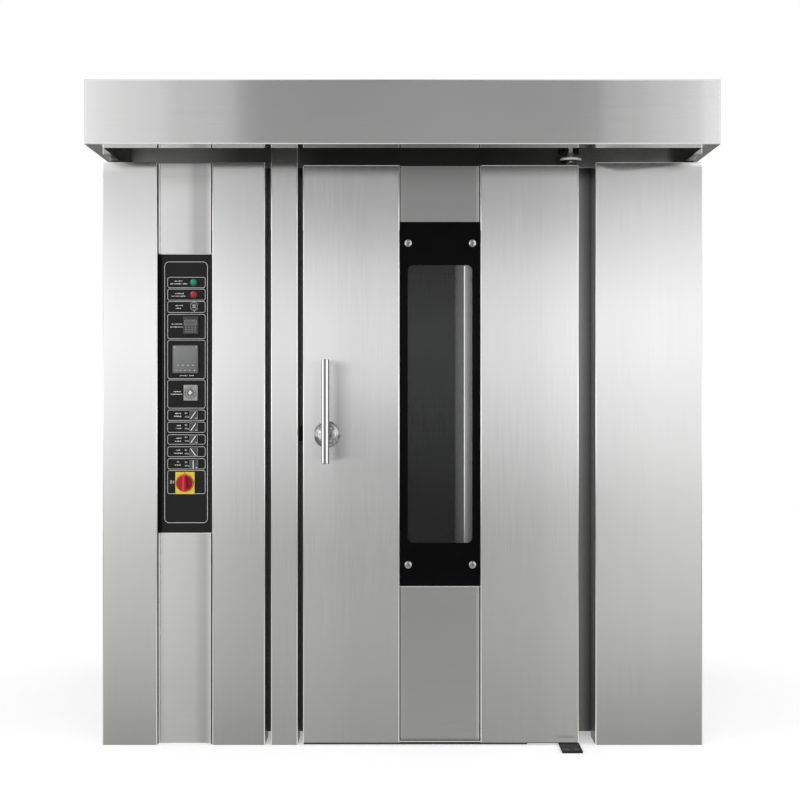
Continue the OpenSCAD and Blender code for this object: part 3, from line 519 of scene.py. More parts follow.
# ---------------------------------------------------------------- finishes
def tune_hood(nt, tc, col, r):
    """The flange turned in along the lower edge is glazed smooth; a painted reflection runs along it, duller at its
    ends.
    """
    nrm = node(nt, "TexCoord").outputs["Normal"]
    o = split(nt, nrm)
    q = split(nt, tc)
    x = q[0]
    low = math_(nt, "LESS_THAN", q[2], 1.9605)
    down = math_(nt, "MULTIPLY", math_(nt, "LESS_THAN", o[2], -0.985), low)
    turn = math_(nt, "MULTIPLY", math_(nt, "MULTIPLY", math_(nt, "LESS_THAN", o[2], -0.55), math_(nt, "GREATER_THAN", o[2], -0.985)), low)
    # painted reflection along the underside of the lip (lip), darker at its ends, and a painted highlight on the turn
    # of the fold (turn)
    lip = by_ramp(nt, x, [(-0.955, 0.72), (-0.953, 1.6), (-0.80, 1.6), (-0.66, 0.9), (-0.44, 1.1), (-0.37, 1.1), (-0.02, 0.32), (0.12, 0.42), (0.25, 0.62), (0.45, 1.25), (0.68, 1.6), (0.953, 1.6), (0.955, 0.72)])
    k = math_(nt, "MULTIPLY_ADD", math_(nt, "SUBTRACT", lip, 1.0), down, 1.0)
    k = math_(nt, "MULTIPLY_ADD", turn, 0.55, k)
    # painted reflection: the front sheet is a little brighter on the left, and steps down and up along its length
    front = math_(nt, "LESS_THAN", o[1], -0.9)
    along = by_ramp(nt, x, [(-0.99, 1.10), (-0.93, 1.08), (-0.87, 1.085), (-0.77, 1.14), (-0.706, 1.08), (-0.66, 1.12), (-0.60, 1.18), (-0.56, 1.20), (-0.532, 1.155), (-0.510, 1.05), (-0.490, 1.0),
                            (-0.468, 0.957), (-0.42, 0.956), (-0.325, 1.015), (-0.15, 1.06), (0.0, 1.09), (0.15, 1.12), (0.31, 1.08), (0.45, 1.02), (0.56, 0.955), (0.611, 0.957), (0.640, 1.065), (0.70, 1.08),
                            (0.74, 1.015), (0.79, 1.04), (0.88, 0.98), (0.93, 0.98), (0.955, 1.05)])
    k = math_(nt, "MULTIPLY", k, math_(nt, "MULTIPLY_ADD", math_(nt, "SUBTRACT", along, 1.0), front, 1.0))
    # painted shade: inner faces of the two end plates, behind the covers' plane, much darker
    inner = math_(nt, "LESS_THAN", math_(nt, "MULTIPLY", x, o[0]), -0.5)
    k = math_(nt, "MULTIPLY", k, math_(nt, "MULTIPLY_ADD", inner, -0.66, 1.0))
    # painted shade: the outer faces of the end plates and the top are a little darker
    outer = math_(nt, "MAXIMUM", math_(nt, "GREATER_THAN", math_(nt, "MULTIPLY", x, o[0]), 0.5), math_(nt, "GREATER_THAN", o[2], 0.8))
    k = math_(nt, "MULTIPLY", k, math_(nt, "MULTIPLY_ADD", outer, -0.22, 1.0))
    r = math_(nt, "MULTIPLY", r, math_(nt, "SUBTRACT", 1.0, math_(nt, "MULTIPLY", down, 0.55)))
    return scale_col(nt, col, k), r


def tune_post(nt, tc, col, r):
    """Painted shade on the post just under the hood's edge, and painted light on it up inside the hood."""
    return scale_col(nt, col, by_ramp(nt, split(nt, tc)[2], [(1.80, 1.05), (1.88, 0.97), (1.925, 0.90), (1.935, 1.05), (1.962, 1.65)])), r


def tune_cover(nt, tc, col, r):
    q = split(nt, tc)
    # painted shade and light: darker towards the floor, brighter along the top under the hood, and varied across by the
    # reflection it would show
    k = by_ramp(nt, q[2], [(0.03, 0.91), (0.15, 0.97), (0.26, 0.99), (1.80, 0.99), (1.905, 1.0), (1.9165, 1.10), (1.920, 1.15), (1.933, 1.22), (1.942, 1.4)])
    side = by_ramp(nt, q[0], [(-0.998, 1.13), (-0.96, 1.095), (-0.89, 1.10), (-0.83, 1.12), (-0.62, 1.10), (-0.585, 1.08), (-0.54, 1.055), (-0.48, 1.04)])
    return scale_col(nt, col, math_(nt, "MULTIPLY", k, side)), r


def tune_right(nt, tc, col, r):
    """Right cover: painted shade that varies with height, and a painted shadow of the hood in a shallow bow along its
    upper edge.
    """
    q = split(nt, tc)
    k = by_ramp(nt, q[2], [(0.03, 0.93), (0.15, 0.985), (0.317, 1.07), (0.483, 1.10), (0.65, 1.09), (0.817, 1.05), (1.15, 1.03), (1.483, 1.05), (1.683, 1.01), (1.80, 0.99), (1.86, 0.94), (1.90, 0.91), (1.922, 0.95), (1.929, 1.1), (1.937, 1.6)])
    # painted shadow of the hood: below this curve the sheet is darker
    bow = by_ramp(nt, q[0], [(0.650, 1.934), (0.680, 1.918), (0.715, 1.910), (0.760, 1.9105), (0.830, 1.918), (0.900, 1.928), (0.960, 1.940)])
    m = math_(nt, "DIVIDE", math_(nt, "SUBTRACT", q[2], bow), 0.010, clamp=True)
    m = math_(nt, "MULTIPLY", m, by_ramp(nt, q[2], [(1.927, 1.0), (1.935, 0.35)]))
    k = math_(nt, "MULTIPLY", k, by_ramp(nt, q[0], [(0.66, 1.075), (0.85, 1.075), (0.93, 1.045), (0.98, 1.035)]))
    return scale_col(nt, col, math_(nt, "MULTIPLY", k, math_(nt, "MULTIPLY_ADD", m, -0.50, 1.0))), r


def tune_door(nt, tc, col, r):
    """Door strips: painted shade towards the top, a painted shadow of the handle beside it, a broad patch of painted
    shade right of the handle, brighter edges.
    """
    q = split(nt, tc)
    k = by_ramp(nt, q[2], [(1.58, 1.0), (1.683, 0.94), (1.783, 0.885), (1.830, 0.865), (1.880, 0.85), (1.893, 0.80), (1.902, 0.71), (1.911, 0.61), (1.917, 0.50), (1.925, 0.50), (1.931, 0.80), (1.934, 1.2)])
    # painted shadow of the handle bar, a narrow band to its right
    beside = math_(nt, "MULTIPLY", by_ramp(nt, q[0], [(-0.238, 0.0), (-0.2317, 0.0), (-0.225, 0.09), (-0.2183, 0.20), (-0.215, 0.235), (-0.205, 0.225), (-0.195, 0.20), (-0.1883, 0.165), (-0.1817, 0.13), (-0.1683, 0.05), (-0.14, 0.03), (-0.10, 0.0)]),
                   by_ramp(nt, q[2], [(0.948, 0.0), (0.966, 1.0), (1.262, 1.0), (1.285, 0.0)]))
    # painted shade: a broad patch to the right of the handle, round the rose's height
    soft = math_(nt, "MULTIPLY", by_ramp(nt, q[0], [(-0.31, 0.0), (-0.25, 0.5), (-0.22, 1.0), (-0.02, 1.0), (0.0, 0.0)]),
                 by_ramp(nt, q[2], [(0.70, 0.0), (0.80, 0.04), (0.85, 0.065), (0.917, 0.115), (0.983, 0.13), (1.05, 0.12), (1.117, 0.08), (1.15, 0.05), (1.22, 0.0)]))
    k = math_(nt, "MULTIPLY", k, math_(nt, "SUBTRACT", 1.0, math_(nt, "ADD", beside, soft)))
    # painted reflection: brighter towards both edges of the door
    k = math_(nt, "MULTIPLY", k, by_ramp(nt, q[0], [(-0.33, 1.11), (-0.25, 1.10), (-0.20, 1.065), (-0.15, 1.035), (-0.04, 1.035), (0.27, 1.02), (0.38, 1.04), (0.45, 1.055), (0.50, 1.11), (0.56, 1.145)]))
    return scale_col(nt, col, k), r


def tune_plate(nt, tc, col, r):
    """Control plates: painted reflection, duller along the right side, brighter along the turned edge, darker towards
    the bottom.
    """
    q = split(nt, tc)
    up = math_(nt, "GREATER_THAN", q[2], 1.3)
    kx = math_(nt, "ADD", math_(nt, "MULTIPLY", up, by_ramp(nt, q[0], [(-0.724, 1.0), (-0.712, 0.92), (-0.696, 0.76), (-0.662, 0.78), (-0.650, 0.95), (-0.643, 1.22)])),
               math_(nt, "MULTIPLY", math_(nt, "SUBTRACT", 1.0, up), by_ramp(nt, q[0], [(-0.81, 0.90), (-0.795, 1.0), (-0.70, 1.0), (-0.68, 0.88), (-0.663, 0.81), (-0.652, 0.95), (-0.643, 1.22)])))
    kz = by_ramp(nt, q[2], [(0.02, 0.85), (0.15, 0.89), (0.317, 0.96), (0.48, 1.0), (1.90, 1.05), (1.925, 1.3)])
    return scale_col(nt, col, math_(nt, "MULTIPLY", kx, kz)), r


def tune_dplate(nt, tc, col, r):
    q = split(nt, tc)
    # painted highlight: brighter along the turned edges of the door plates
    return scale_col(nt, col, by_ramp(nt, q[0], [(0.0, 1.06), (0.01, 1.0), (0.243, 1.0), (0.2545, 1.4)])), r


def tune_frame(nt, tc, col, r):
    """Front frame: painted shade and reflection on the steel, darkest on the lock side and where it turns into the gap.
    """
    x = split(nt, tc)[0]
    k = by_ramp(nt, x, [(-0.34, 0.13), (-0.28, 0.20), (0.56, 0.36), (0.610, 0.36), (0.621, 0.27), (0.630, 0.19), (0.638, 0.13), (0.6445, 0.10), (0.648, 0.15), (0.6515, 0.25), (0.660, 0.32)])
    return scale_col(nt, col, k), r


def tune_fascia(nt, tc, col, r):
    x = split(nt, tc)[0]
    # painted reflection and shade: brighter towards both ends, dark in the middle under the hood
    k = by_ramp(nt, x, [(-0.926, 1.3), (-0.915, 2.2), (-0.88, 2.85), (-0.845, 2.65), (-0.775, 2.0), (-0.705, 1.65), (-0.55, 0.6), (-0.28, 0.28), (0.28, 0.28), (0.55, 0.55), (0.75, 1.6), (0.83, 1.7), (0.87, 2.2), (0.90, 2.5), (0.92, 1.2)])
    return scale_col(nt, col, k), r


S_V = steel("z")
S_H = steel("x")
S_Y = steel("y")
S_HOOD = steel("x", (0.62, 0.62, 0.62), 0.215, 0.9, 0.020, 0.012, 0.016, 0.008, 0.012, "_hood", tune_hood, fold_bright=0.22)
S_POST = steel("z", tag="_post", tune=tune_post)
S_COVER = steel("z", tag="_cover", tune=tune_cover)
S_RIGHT = steel("z", tag="_right", tune=tune_right)
S_DOOR = steel("z", tag="_door", tune=tune_door)
# the plates are lighter and darker copies of the same brushed steel, set to the tone each shows: painted light
S_PLATE = steel("x", (0.77, 0.77, 0.77), 0.215, 0.9, 0.018, 0.011, 0.015, 0.008, 0.012, "_plates", tune_plate, fold_bright=0.6, fold_col=0.95)
S_DPLATE = steel("x", (0.53, 0.53, 0.53), 0.215, 0.9, 0.018, 0.011, 0.015, 0.008, 0.012, "_door_plates", tune_dplate, fold_bright=0.5)
S_FRAME = steel("z", (0.62, 0.62, 0.62), 0.26, 0.8, tag="_frame", tune=tune_frame)
S_IN = steel("z", (0.56, 0.557, 0.55), 0.27, 0.8, 0.03, 0.03, 0.03, 0.012, 0.03, "_chamber")
S_MATT = metal("pickled_steel", (0.50, 0.50, 0.495), 0.42, 0.08, 45, 0.05)
GALV = metal("galvanised", (0.52, 0.53, 0.54), 0.38, 0.14, 70, 0.04, stain=(0.42, 0.43, 0.45))
POLISH = metal("polished_steel", (0.80, 0.80, 0.79), 0.075, 0.02, 240, 0.006)
SATIN = metal("satin_steel", (0.66, 0.66, 0.65), 0.2, 0.04, 140, 0.015)
ZINC = metal("zinc_plated", (0.62, 0.62, 0.60), 0.24, 0.06, 160, 0.03)


def hinge_mat():
    m, nt, b = new_mat("top_hinge_steel")
    tc = node(nt, "TexCoord").outputs["Object"]
    o = split(nt, tc)
    f = noise(nt, tc, 160, 4, 0.6)
    off = math_(nt, "ABSOLUTE", math_(nt, "SUBTRACT", o[0], 0.566))
    plate = math_(nt, "MULTIPLY", math_(nt, "GREATER_THAN", o[2], 1.9665), math_(nt, "MAXIMUM", math_(nt, "GREATER_THAN", off, 0.0122), math_(nt, "GREATER_THAN", o[1], -0.490)))
    # painted light: the hinge steel is made pale so it shows in the hood's shade; painted shade on faces that point
    # down
    bright = mix_rgb(nt, remap(nt, f, 0, 1), (0.90, 0.90, 0.89), (0.97, 0.97, 0.96))
    under = math_(nt, "LESS_THAN", split(nt, node(nt, "TexCoord").outputs["Normal"])[2], -0.5)
    bright = scale_col(nt, bright, math_(nt, "MULTIPLY_ADD", under, -0.5, 0.62))
    nt.links.new(mix_rgb(nt, plate, bright, (0.15, 0.15, 0.15)), b.inputs["Base Color"])
    nt.links.new(math_(nt, "MULTIPLY_ADD", plate, 0.4, 0.6), b.inputs["Metallic"])
    nt.links.new(remap(nt, f, 0.20, 0.27), b.inputs["Roughness"])
    bump(nt, b, f, 0.05, 0.0004)
    return m


HINGE = hinge_mat()
CAPS = metal("cap_steel", (0.42, 0.42, 0.42), 0.13, 0.3, 220, 0.3, dist=0.001)
# painted light: a pale, diffuse zinc for the hinge rod, disc rim and bolts, so they show in the hood's shade
BRIGHT = coat("zinc_painted_light", (0.82, 0.82, 0.81), 0.30, 0.10, 180, 0.06, 0.9, 0.0003, 0.2)
LATCH = metal("burnished_latch", (0.11, 0.11, 0.112), 0.34, 0.15, 160, 0.04)
GROUND = metal("ground_shaft", (0.66, 0.66, 0.66), 0.18, 0.04, 300, 0.02, 0.5, "Z")
BRASS = metal("brass", (0.72, 0.52, 0.25), 0.24, 0.06, 150, 0.02, stain=(0.55, 0.38, 0.18))
HEATER = metal("heater_sheath", (0.20, 0.185, 0.18), 0.42, 0.2, 60, 0.06, stain=(0.27, 0.20, 0.16))
CASTIRON = coat("cast_iron_paint", (0.075, 0.085, 0.09), 0.5, 0.18, 160, 0.25, 0.4, 0.0006)
MOTORBLUE = coat("motor_enamel", (0.045, 0.10, 0.17), 0.38, 0.12, 220, 0.14, 0.5, 0.0005)
BLACKIRON = coat("black_oxide_plate", (0.012, 0.012, 0.0125), 0.5, 0.5, 140, 0.5, 0.22, 0.0008)
RUBBER = coat("black_rubber", (0.016, 0.016, 0.017), 0.62, 0.2, 500, 0.15, 0.35)
SILICONE = coat("gasket_silicone", (0.045, 0.045, 0.046), 0.5, 0.15, 350, 0.12, 0.4)
WOOL = coat("mineral_wool", (0.42, 0.34, 0.16), 0.9, 0.3, 90, 0.9, 0.1, 0.003, 0.6)
PANEL = coat("panel_black_satin", (0.0085, 0.0085, 0.0086), 0.44, 0.08, 700, 0.04, 0.21, 0.0001, 0.15)
PLASTIC = coat("black_plastic", (0.028, 0.028, 0.030), 0.36, 0.1, 500, 0.06, 0.5)
PLASTIC_G = coat("grey_plastic", (0.085, 0.086, 0.088), 0.34, 0.08, 400, 0.05, 0.5)
DIALWHITE = coat("dial_plastic", (0.35, 0.35, 0.345), 0.36, 0.05, 400, 0.04, 0.5)
KNOBWHITE = coat("knob_plastic", (0.74, 0.74, 0.72), 0.3, 0.04, 300, 0.03, 0.5)
INK = coat("panel_ink", (0.80, 0.80, 0.80), 0.5, 0.05, 900, 0.05, 0.3, 0.00005, 0.1)
# painted light: the white inlays of the selector levers glow a little
LEVERWHITE = emit("lever_inlay_painted_glow", (0.88, 0.88, 0.88), 0.12)
INK_L = coat("panel_ink_lines", (0.68, 0.68, 0.68), 0.5, 0.05, 900, 0.05, 0.3, 0.00005, 0.1)
INK_G = coat("panel_ink_grey", (0.42, 0.42, 0.42), 0.5, 0.06, 900, 0.05, 0.3, 0.00005)
GREEN = coat("button_green", (0.010, 0.235, 0.12), 0.16, 0.05, 200, 0.02, 0.5, 0.0002, 0.2, 0.6)
RED = coat("button_red", (0.36, 0.014, 0.05), 0.16, 0.05, 200, 0.02, 0.5, 0.0002, 0.2, 0.6)


def knob_red():
    """Moulded red: a painted highlight along the ridge of the grip, painted shade on the side away from it."""
    m, nt, b = new_mat("switch_red")
    tc = node(nt, "TexCoord").outputs["Object"]
    x = split(nt, tc)[0]
    f = noise(nt, tc, 250, 3, 0.6)
    # painted shade: darker to the right of the grip
    k = by_ramp(nt, x, [(-0.755, 0.85), (-0.742, 1.0), (-0.735, 1.05), (-0.7275, 1.05), (-0.7265, 0.72), (-0.720, 0.60), (-0.710, 0.48), (-0.703, 0.62)])
    # painted highlight: a pale streak along the ridge of the grip
    pale = math_(nt, "MULTIPLY", by_ramp(nt, x, [(-0.7355, 0.0), (-0.7325, 0.75), (-0.7290, 0.55), (-0.7270, 0.0)]),
                 math_(nt, "LESS_THAN", split(nt, tc)[1], FY + (25.5 - 12.0) * MM))
    base = mix_rgb(nt, remap(nt, f, 0, 1), (0.45, 0.008, 0.018), (0.50, 0.010, 0.024))
    base = mix_rgb(nt, math_(nt, "MULTIPLY", pale, 0.38), base, (0.80, 0.14, 0.18))
    nt.links.new(scale_col(nt, base, k), b.inputs["Base Color"])
    b.inputs["Specular IOR Level"].default_value = 0.22
    b.inputs["Coat Weight"].default_value = 0.05
    b.inputs["Coat Roughness"].default_value = 0.08
    nt.links.new(remap(nt, f, 0.30, 0.38), b.inputs["Roughness"])
    bump(nt, b, f, 0.03, 0.0002)
    return m


KNOBRED = knob_red()


def lens_mat(name, deep, mid, pale):
    """Clear coloured cap over a lamp: a painted highlight where it faces up to the left, painted shade at the far rim.
    """
    m, nt, b = new_mat(name)
    nn = split(nt, node(nt, "TexCoord").outputs["Normal"])
    tc = node(nt, "TexCoord").outputs["Object"]
    f = noise(nt, tc, 300, 3, 0.6)
    # painted light: d measures how far the surface faces up to the left
    d = math_(nt, "ADD", math_(nt, "ADD", math_(nt, "MULTIPLY", nn[0], -0.55), math_(nt, "MULTIPLY", nn[1], -0.62)), math_(nt, "MULTIPLY", nn[2], 0.56))
    c = mix_rgb(nt, by_ramp(nt, d, [(0.10, 0.0), (0.45, 0.55), (0.78, 1.0)]), deep, mid)
    c = mix_rgb(nt, by_ramp(nt, d, [(0.86, 0.0), (0.97, 0.6), (1.0, 0.9)]), c, pale)
    c = mix_rgb(nt, remap(nt, f, 0, 0.06), c, (0.02, 0.02, 0.02))
    nt.links.new(c, b.inputs["Base Color"])
    b.inputs["Specular IOR Level"].default_value = 0.3
    b.inputs["Coat Weight"].default_value = 0.1
    b.inputs["Coat Roughness"].default_value = 0.08
    nt.links.new(remap(nt, f, 0.14, 0.20), b.inputs["Roughness"])
    bump(nt, b, f, 0.02, 0.0002)
    return m


LENS_G = lens_mat("lens_green", (0.0, 0.07, 0.032), (0.004, 0.30, 0.15), (0.30, 0.80, 0.58))
LENS_R = lens_mat("lens_red", (0.10, 0.004, 0.012), (0.44, 0.012, 0.055), (0.90, 0.36, 0.44))
YELLOW = coat("switch_yellow", (0.74, 0.53, 0.045), 0.38, 0.05, 300, 0.03, 0.5, 0.0002, 0.15)
# the fascia is a darker copy of the brushed steel, for the shade under the hood (painted shade)
FASCIA = steel("x", (0.34, 0.34, 0.34), 0.30, 0.8, 0.03, 0.03, 0.03, 0.02, 0.05, "_fascia", tune_fascia)
GREYBEIGE = coat("terminal_beige", (0.42, 0.41, 0.37), 0.45, 0.06, 300, 0.05, 0.4)
GAPBLACK = coat("shadow_gap_black", (0.0035, 0.0035, 0.0036), 0.7, 0.2, 300, 0.1, 0.12)
GAPGREY = coat("sealant_grey", (0.035, 0.035, 0.036), 0.6, 0.2, 300, 0.1, 0.2)
# painted highlight: a bright metal for strips laid along folds and edges
EDGE = metal("edge_painted_highlight", (0.93, 0.93, 0.93), 0.48, 0.03, 200, 0.02)
CERAMIC = coat("ceramic", (0.68, 0.67, 0.63), 0.42, 0.05, 300, 0.05, 0.4)
GALVTRAY = GALV


def instruments_mat():
    """Dark instrument bodies; the lowest one has a pale dial plate."""
    m, nt, b = new_mat("instrument_bodies")
    tc = node(nt, "TexCoord").outputs["Object"]
    dial = band_mask(nt, tc, 2, 1.10, 1.21)
    f = noise(nt, tc, 420, 3, 0.6)
    w = noise(nt, tc, 20, 3, 0.6)
    col = mix_rgb(nt, remap(nt, f, 0, 1), (0.060, 0.061, 0.063), (0.075, 0.076, 0.078))
    pale = mix_rgb(nt, remap(nt, f, 0, 1), (0.29, 0.29, 0.285), (0.34, 0.34, 0.335))
    col = mix_rgb(nt, dial, col, pale)
    nt.links.new(mix_rgb(nt, remap(nt, w, 0, 0.25, 0.35, 0.75), col, (0.05, 0.05, 0.05)), b.inputs["Base Color"])
    nt.links.new(remap(nt, f, 0.34, 0.44), b.inputs["Roughness"])
    bump(nt, b, f, 0.05, 0.0003)
    return m


def tray_mat():
    """Zinc-plated plate behind, the switchgear blocks in front of it in grey and dark plastic."""
    m, nt, b = new_mat("switchgear")
    tc = node(nt, "TexCoord").outputs["Object"]
    plate = band_mask(nt, tc, 1, -0.2545, 10.0)
    f = noise(nt, tc, 200, 3, 0.6)
    zones = noise(nt, tc, 18, 0, 0.5, (1.0, 0.0, 0.35))
    blocks = mix_rgb(nt, math_(nt, "GREATER_THAN", zones, 0.5), (0.055, 0.057, 0.06), (0.34, 0.34, 0.32))
    blocks = mix_rgb(nt, remap(nt, f, 0, 0.3), blocks, (0.1, 0.1, 0.1))
    nt.links.new(mix_rgb(nt, plate, blocks, (0.55, 0.55, 0.54)), b.inputs["Base Color"])
    nt.links.new(math_(nt, "MULTIPLY", plate, 0.9), b.inputs["Metallic"])
    nt.links.new(remap(nt, f, 0.35, 0.5), b.inputs["Roughness"])
    bump(nt, b, f, 0.06, 0.0004)
    return m


for n, mat, wd in (
    ("control_cover", S_COVER, 0.5), ("control_infill", S_PLATE, 0.4), ("control_panel", PANEL, 0.3), ("door_post", S_POST, 0.5),
    ("right_cover", S_RIGHT, 0.5), ("canopy_shell", S_HOOD, 0.5), ("canopy_fascia", FASCIA, 0.4), ("door_skin", S_DOOR, 0.5),
    ("door_infill", S_DPLATE, 0.4), ("side_panel_left", S_V, 0.6), ("side_panel_right", S_V, 0.6), ("rear_panel", S_V, 0.6),
    ("roof_panel", S_Y, 0.6), ("base_frame", GALV, 0.8), ("chamber_floor", S_MATT, 0.6), ("door_frame", S_FRAME, 0.8),
    ("diffuser_wall", S_IN, 0.5), ("chamber_walls", S_IN, 0.6), ("chamber_ceiling", S_IN, 0.6), ("insulation_batts", WOOL, 3.0),
    ("hood_fan_casing", GALV, 0.6), ("hood_impeller", PLASTIC, 0.6), ("steam_vent", S_MATT, 0.5), ("damper_flap", S_MATT, 0.4),
    ("electrical_tray", tray_mat(), 0.6), ("heater_elements", HEATER, 0.4), ("steam_generator", S_MATT, 0.5),
    ("fan_motor", MOTORBLUE, 0.8), ("fan_impeller", S_MATT, 0.5), ("rotor_bearing", CASTIRON, 1.2), ("gear_motor", MOTORBLUE, 0.8),
    ("rotor_shaft", GROUND, 0.6), ("rack_hook", S_MATT, 0.6), ("panel_instruments", instruments_mat(), 0.5),
    ("steam_timer_knob", KNOBWHITE, 0.5), ("switch_bezels", PLASTIC, 0.5), ("green_button", GREEN, 0.4), ("red_button", RED, 0.4),
    ("selector_a", PLASTIC_G, 0.5), ("selector_b", PLASTIC_G, 0.5), ("selector_c", PLASTIC_G, 0.5), ("selector_d", PLASTIC_G, 0.5),
    ("selector_e", PLASTIC_G, 0.5), ("main_switch_plate", YELLOW, 1.2), ("main_switch_knob", KNOBRED, 1.4),
    ("hinge_pin_top", HINGE, 0.5), ("hinge_bracket", BLACKIRON, 0.9), ("keeper_spring", LATCH, 0.3),
    ("door_liner", S_V, 0.4), ("door_insulation", WOOL, 2.0), ("window_outer_glass", window_mat(), 0.0),
    ("window_inner_glass", glass("inner_glass", (0.80, 0.82, 0.815), (0.2, 0.2, 0.2), 0.03, 1.4), 0.0),
    ("window_caps", CAPS, 0.4), ("door_gasket", SILICONE, 2.6), ("door_sweep", RUBBER, 0.8), ("hinge_cups", ZINC, 0.6),
    ("handle_rosette", POLISH, 0.5), ("handle_bar", POLISH, 2.2), ("latch_spindle", LATCH, 0.6),
):
    dress(n, mat, wd)

# ---------------------------------------------------------------- front: seams
# black beads along the recesses of the left cover and of the door: sealing beads, made black as painted shade for the
# dark gaps beside the plates and the panel
bm = bmesh.new()
beam(bm, -816.95, -816.1, 2.2, 15.0, 3, 1940, r=0.3, mat=1)      # up the left side of the recess
beam(bm, -816.95, -816.1, 15.0, 27.6, 704.5, 1639.5, r=0.3, mat=1)
beam(bm, -816.2, -806.6, 24.9, 26.2, 706, 1637, r=0.5, mat=1)    # beside the black panel
beam(bm, -642.8, -635.2, 24.9, 26.2, 706, 1637, r=0.5, mat=2)
for z0, z1 in ((2, 704), (1640.5, 1941)):
    beam(bm, -638.6, -635.1, 2.6, 25.4, z0, z1, r=0.6, mat=1)
finish_mesh("cover_recess_beads_shade", bm, [RUBBER, GAPBLACK, GAPGREY], "carcass")
bm = bmesh.new()
# painted highlight: bright strips along the turned-up edges of the plates that lie in the recesses
for z0, z1 in ((1.5, 704), (1640.4, 1942)):
    beam(bm, -816.9, -814.4, 15.4, 25.2, z0, z1, r=0.9, n=3)
beam(bm, -814.5, -639.5, 22.9, 25.2, 701.3, 703.9, axis="x", r=1.1, n=3)
finish_mesh("plate_edge_highlights", bm, EDGE, "carcass")
bm = bmesh.new()
# painted highlight: a bright strip along the top edge of the door's lower plate
beam(bm, -9.4, 259.4, 15.9, 18.3, 524.5, 527.0, axis="x", r=1.1, n=3)
finish_mesh("door_plate_edge_highlight", bm, EDGE, "door")
bm = bmesh.new()
beam(bm, 415.5, 583.5, -0.35, 3.2, 6.6, 9.0, axis="x", r=0.5)
finish_mesh("sweep_lip", bm, RUBBER, "door")
# painted highlight: bright strips along the hemmed upper edges of the right cover and of the two door strips
bm = bmesh.new()
beam(bm, 646.5, 996.0, -0.3, 1.2, 1940.2, 1942.7, axis="x", r=0.7, n=3)
# painted highlight: bright strips on the corners of the folds, up under the hood
for x, s, z in ((-818, -1, 1941.5), (-635, 1, 1941.5), (-458, -1, 1941.5), (-439, 1, 1941.5), (-349, -1, 1941.5), (643.8, 1, 1941.5)):
    a, c = sorted((x + 0.5 * s, x + 2.2 * s))
    beam(bm, a, c, -0.25, 1.7, 1715, z, r=0.7, n=3)
finish_mesh("cover_fold_highlights", bm, EDGE, "carcass")
bm = bmesh.new()
# painted highlight: bright strips along the top edges and folds of the door strips
for x0, x1 in ((-328.0, -11.5), (262.5, 585.5)):
    beam(bm, x0, x1, -0.3, 1.2, 1930.2, 1932.7, axis="x", r=0.7, n=3)
for x, s in ((-332, 1), (-10, -1), (260, 1), (588, -1)):
    a, c = sorted((x + 0.5 * s, x + 2.2 * s))
    beam(bm, a, c, -0.25, 1.7, 1715, 1931.5, r=0.7, n=3)
finish_mesh("door_fold_highlights", bm, EDGE, "door")
# painted shade: black beads along the door's recess, for the dark gaps there
bm = bmesh.new()
for z0, z1 in ((10, 527), (1746, 1931)):
    beam(bm, -10.4 + 0.5, -6.9, 16.6, 18.6, z0, z1, r=0.6)
    beam(bm, 256.9, 259.9, 16.6, 18.6, z0, z1, r=0.6)
for z, h in ((528.2, 0.5), (1744.9, 0.8)):
    beam(bm, -9.6, 259.6, 14.5, 18.4, z - h, z + h, axis="x", r=0.4)
finish_mesh("door_recess_beads_shade", bm, RUBBER, "door")

# ---------------------------------------------------------------- control panel
PF = 25.5
PX = 3.333 * (1 + PF / 4200)


def pxz(px, py):
    """A place on the panel's face, in millimetres, given in picture units."""
    return (px - 402.5) * PX, 1200 + (385 - py) * PX


BOX = [(1525.5, 1561.8), (1483.9, 1522.2), (1442.6, 1480.6), (1355.0, 1437.6), (1220.8, 1351.0), (1121.8, 1217.5),
       (1080.5, 1116.8), (1040.6, 1076.5), (1000.7, 1033.9), (959.0, 993.6), (917.8, 953.7), (834.9, 913.7)]
org = (0, PF, 0)
bm = bmesh.new()
W, H = 144.9, 876.0
cx, cz = -725.7, 1175.5
ring(bm, rrect(W, H, 15, 8, (cx, cz)), rrect(W - 3.0, H - 3.0, 13.5, 8, (cx, cz)), org, "-y", 0.0, 0.22, 2)
for z0, z1 in BOX:
    w, h, c = 127.0, z1 - z0, (-724.6, (z0 + z1) / 2)
    ring(bm, rrect(w, h, 7.0, 6, c), rrect(w - 2.6, h - 2.6, 5.7, 6, c), org, "-y", 0.0, 0.2, 2)
LAB = [(174.7, 183.3, 281.0), (170.6, 187.3, 283.8), (175.0, 183.9, 293.6), (171.8, 185.9, 296.2), (175.5, 183.0, 305.6), (176.1, 182.1, 308.3),
       (171.5, 182.1, 324.1), (170.6, 183.0, 327.0), (180.1, 187.6, 375.6), (189.3, 193.9, 375.6), (173.5, 181.0, 391.6), (170.9, 183.0, 394.3),
       (175.0, 181.3, 413.4), (174.1, 181.8, 416.4), (176.4, 181.0, 425.6), (175.8, 181.2, 428.4), (175.8, 181.8, 438.2), (175.0, 181.9, 441.2),
       (176.1, 181.0, 450.2), (174.1, 183.0, 453.3), (177.0, 180.1, 461.9), (175.0, 181.8, 465.0)]
for a, b_, y in LAB:
    x0, z = pxz(a, y)
    x1, _ = pxz(b_, y)
    x = x0
    while x < x1 - 2.0:
        w = min(rnd.uniform(1.2, 2.7), x1 - x)
        h = rnd.choice((2.3, 3.0, 3.8))
        prism(bm, rrect(w, h, 0.5, 2, (x + w / 2, z + rnd.uniform(-0.4, 0.4))), org, "-y", 0.0, 0.2, 0)
        x += w + rnd.choice((0.9, 1.1, 1.4, 2.6))


